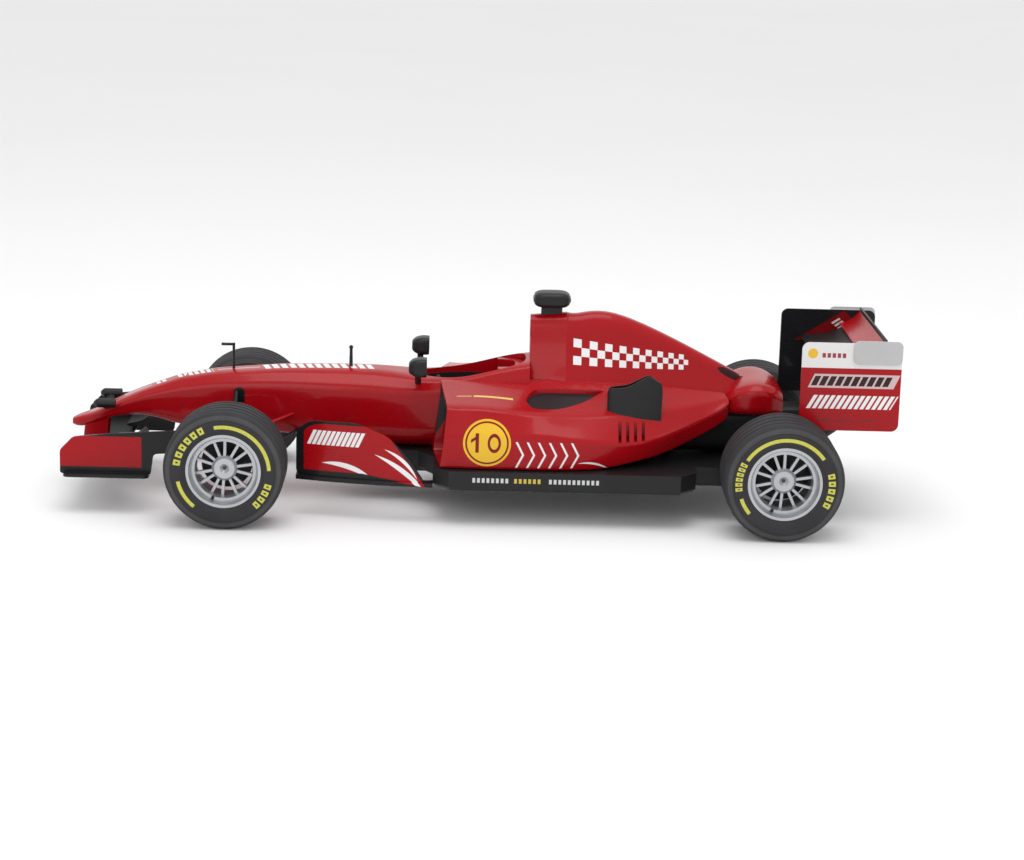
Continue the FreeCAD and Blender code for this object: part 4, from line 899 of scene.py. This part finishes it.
class CAR_OT_cockpit_fittings(bpy.types.Operator):
    """Adds the belts, their buckle and the steering wheel's display and knobs"""
    bl_idname = "car.cockpit_fittings"
    bl_label = "Cockpit fittings"

    def execute(self, context):
        cloth = webbing("belt_webbing", low=(0.30, 0.01, 0.012), high=(0.20, 0.006, 0.008), weave=0.7)
        belt = block("shoulder_belt_left", low=(-18.9, 3.4, 46.5), high=(-18.0, 6.8, 65.5), edge=0.25)
        tilt(7.5, "Y", centre=(-18.4, 5, 56))
        settle(belt, "chassis", "cockpit_black", cloth)
        repeat(belt, "shoulder_belt_right", "chassis", mirror=True)
        lap = block("lap_belt_left", low=(-16.6, 1.2, 43.6), high=(-15.8, 10.2, 46.8), edge=0.25)
        tilt(14, "X", centre=(-16, 1, 45))
        settle(lap, "chassis", "cockpit_black", cloth)
        repeat(lap, "lap_belt_right", "chassis", mirror=True)
        steel = silver_lacquer("buckle_steel", tint=0.7, roughness=0.25)
        disc = ((-0.8, 0.0), (-0.8, 2.0), (0.5, 2.2), (0.9, 1.9), (0.9, 1.3), (0.6, 1.1), (0.6, 0.0))
        buckle = lathe("belt_buckle", disc, centre=(-15.6, 0, 45.6), steps=24, axis="x")
        settle(buckle, "chassis", "pin_steel", steel)
        screen = block("wheel_display", low=(20.2, -2.6, 62.6), high=(21.0, 2.6, 65.2), edge=0.2)
        sink(screen, faces_tail, rim=0.4, depth=0.15)
        tilt(-18, "Y", centre=(22, 0, 63))
        blue_glass = dark_glass("wheel_display", low=(0.01, 0.03, 0.05), high=(0.02, 0.05, 0.07))
        settle(screen, "chassis", "cockpit_black", blue_glass)
        knob = ((-1.1, 0.0), (-1.1, 0.3), (-1.0, 0.6), (-0.3, 0.65), (0.2, 0.8), (0.2, 0.0))
        red = lathe("wheel_knob_left", knob, centre=(20.6, 3.8, 62.2), steps=14, axis="x")
        settle(red, "chassis", "red_lacquer", red_lacquer("knob_red"))
        repeat(red, "wheel_knob_right", "chassis", mirror=True)
        return {"FINISHED"}


class CAR_OT_fasteners(bpy.types.Operator):
    """Adds the bolts of the wishbones and the screws under the floor"""
    bl_idname = "car.fasteners"
    bl_label = "Bolts and screws"

    def execute(self, context):
        steel = silver_lacquer("bolt_steel", tint=0.5, roughness=0.3)
        self.joint_bolts(steel)
        self.floor_screws(steel)
        return {"FINISHED"}

    def joint_bolts(self, steel):
        """One six-sided bolt through the outer end of each pair of arms."""
        shape = (
            (-2.4, 0.0), (-2.4, 1.1), (-1.9, 1.3), (1.9, 1.3), (2.4, 1.1), (2.5, 0.6), (2.3, 0.4), (2.3, 0.0))
        arm_r, inset = 1.7, 1.9
        bolt_y = corners("upright_front_left")[0].y - inset
        first = None
        for end, axle_x in AXLES:
            for level in ("upper", "lower"):
                name = f"joint_bolt_{end}_{level}"
                place = Vector((axle_x, bolt_y, corners(f"{end}_{level}_wishbones")[0].z + arm_r))
                if first is None:
                    bolt = lathe(name + "_left", shape, place, steps=6, axis="z")
                    settle(bolt, "chassis", "pin_steel", steel, smooth=20)
                    first, first_place = bolt, place
                else:
                    bolt = repeat(first, name + "_left", "chassis", place - first_place)
                repeat(bolt, name + "_right", "chassis", mirror=True)

    def floor_screws(self, steel):
        """Two pairs of round heads with a socket under the floor's pan."""
        head = ((0.2, 0.0), (0.2, 0.5), (-0.3, 0.8), (-0.5, 1.6), (-0.2, 2.3), (0.6, 2.4), (0.6, 0.0))
        screw = lathe("floor_screw_1", head, centre=(-92, 40, 20), steps=20, axis="z")
        settle(screw, "chassis", "pin_steel", steel)
        repeat(screw, "floor_screw_2", "chassis", mirror=True)
        ahead = repeat(screw, "floor_screw_3", "chassis", shift=(90, 8, 0))
        repeat(ahead, "floor_screw_4", "chassis", mirror=True)


class CAR_OT_trim(bpy.types.Operator):
    """Adds the rear flap's edge strip, the lamp's lens and the mast's tip"""
    bl_idname = "car.trim"
    bl_label = "Trim"

    def execute(self, context):
        black = black_plastic("trim_black", tint=1.2)
        flap_low, flap_high = corners("rear_wing_flap")
        proud, lap, short, half_tall = 0.7, 0.4, 0.2, 1.5
        strip = block(
            "rear_flap_strip", low=(flap_low.x - proud, flap_low.y + short, flap_high.z - half_tall),
            high=(flap_low.x + lap, flap_high.y - short, flap_high.z + half_tall), edge=0.2)
        settle(strip, "chassis", "black_plastic", black)
        lamp_low, lamp_high = corners("rain_light")
        frame_w, proud, sunk = 0.7, 1.0, 0.2
        lens = block(
            "rain_lamp_lens", low=(lamp_low.x - proud, lamp_low.y + frame_w, lamp_low.z + frame_w),
            high=(lamp_low.x + sunk, lamp_high.y - frame_w, lamp_high.z - frame_w), edge=0.5)
        sink(lens, faces_tail, rim=0.6, depth=0.2)
        settle(lens, "chassis", "lamp_red", lamp_lens("rain_lamp_lens"))
        ball = ((-0.9, 0.0), (-0.9, 0.9), (-0.5, 1.15), (0.2, 1.2), (0.8, 0.9), (1.1, 0.4), (1.15, 0.0))
        mast_x, mast_top = 74, corners("antenna_mast")[1].z
        tip = lathe("mast_tip", ball, centre=(mast_x, 0, mast_top + 0.2), steps=20, axis="z")
        settle(tip, "chassis", "black_plastic", black)
        return {"FINISHED"}


class CAR_OT_stage(bpy.types.Operator):
    """Adds the pale floor, the soft lights and the camera"""
    bl_idname = "car.stage"
    bl_label = "Studio"

    def execute(self, context):
        rest()
        self.floor(context)
        self.lights(context)
        self.camera(context)
        context.scene.view_settings.view_transform = "Standard"
        return {"FINISHED"}

    def floor(self, context):
        """A wide sheet of pale paper."""
        bpy.ops.mesh.primitive_plane_add(size=9, location=(0, -1.5, 0))
        floor = context.object
        floor.name = "studio_floor"
        paper = Finish("studio_paper", {"Specular IOR Level": 0.2})
        tone = paper.noise(400, 2)
        base = paper.mix(tone, (0.90, 0.90, 0.905), (0.87, 0.87, 0.88))
        relief = paper.bump(paper.noise(1.5, 2), 0.02)
        floor.data.materials.append(paper.done(base, 0.7 + (tone - 0.5) * 0.1, relief))

    def lights(self, context):
        """A white surround and three soft lamps that face the car, with place and size in metres."""
        world = bpy.data.worlds.new("studio_air")
        context.scene.world = world
        world.use_nodes = True
        world.node_tree.nodes["Background"].inputs["Color"].default_value = (1, 1, 1, 1)
        world.node_tree.nodes["Background"].inputs["Strength"].default_value = 0.92
        lamps = (
            ("overhead", (0.0, 0.25, 1.4), 0.9, 7),
            ("front_fill", (0.7, 1.6, 0.8), 0.8, 3),
            ("tail_fill", (-1.5, 0.4, 0.8), 0.8, 1.5),
        )
        for name, place, size, power in lamps:
            bpy.ops.object.light_add(type="AREA", location=place)
            lamp = context.object
            lamp.name = name
            lamp.data.size = size
            lamp.data.energy = power
            lamp.rotation_euler = Vector(place).to_track_quat("Z", "Y").to_euler()

    def camera(self, context):
        """The photograph's view: swung, raised and tilted about a place on the car."""
        view = context.scene.car_view
        aim = Vector((-0.0192, 0, 0.0386))
        back = Vector((
            math.sin(view.azimuth) * math.cos(view.elevation),
            math.cos(view.azimuth) * math.cos(view.elevation), math.sin(view.elevation)))
        right = (-back).cross(Vector((0, 0, 1))).normalized()
        up = right.cross(-back)
        tilt_right = right * math.cos(view.roll) + up * math.sin(view.roll)
        tilt_up = up * math.cos(view.roll) - right * math.sin(view.roll)
        bpy.ops.object.camera_add()
        camera = context.object
        camera.name = "photo_camera"
        camera.data.lens = view.lens
        camera.data.sensor_width = 36
        camera.data.sensor_fit = "HORIZONTAL"
        turn = Matrix((tilt_right, tilt_up, back)).transposed().to_4x4()
        camera.matrix_world = Matrix.Translation(aim + back * view.distance) @ turn
        context.scene.camera = camera


class CAR_PT_panel(bpy.types.Panel):
    """Lists the car's pieces, sizes and colours"""
    bl_idname = "CAR_PT_panel"
    bl_label = "Racing car"
    bl_space_type = "VIEW_3D"
    bl_region_type = "UI"
    bl_category = "Racing car"

    def draw(self, context):
        for group in (context.scene.car_colours, context.scene.car_sizes, context.scene.car_view):
            for key in group.__annotations__:
                self.layout.prop(group, key)
        for operator in STEPS:
            self.layout.operator(operator.bl_idname)


GROUPS = (("car_colours", CarColours), ("car_sizes", CarSizes), ("car_view", CarView))
STEPS = (
    CAR_OT_body_finish, CAR_OT_tyres, CAR_OT_wheel_fittings, CAR_OT_glass, CAR_OT_cockpit_fittings,
    CAR_OT_fasteners, CAR_OT_trim, CAR_OT_stage,
)


def register():
    for name, group in GROUPS:
        bpy.utils.register_class(group)
        setattr(bpy.types.Scene, name, bpy.props.PointerProperty(type=group))
    for step in STEPS:
        bpy.utils.register_class(step)
    bpy.utils.register_class(CAR_PT_panel)


def unregister():
    bpy.utils.unregister_class(CAR_PT_panel)
    for step in reversed(STEPS):
        bpy.utils.unregister_class(step)
    for name, group in reversed(GROUPS):
        delattr(bpy.types.Scene, name)
        bpy.utils.unregister_class(group)


def main():
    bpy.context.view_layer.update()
    register()
    bpy.ops.car.body_finish()
    bpy.ops.car.tyres()
    bpy.ops.car.wheel_fittings()
    bpy.ops.car.glass()
    bpy.ops.car.cockpit_fittings()
    bpy.ops.car.fasteners()
    bpy.ops.car.trim()
    bpy.ops.car.stage()


if __name__ == "__main__":
    main()
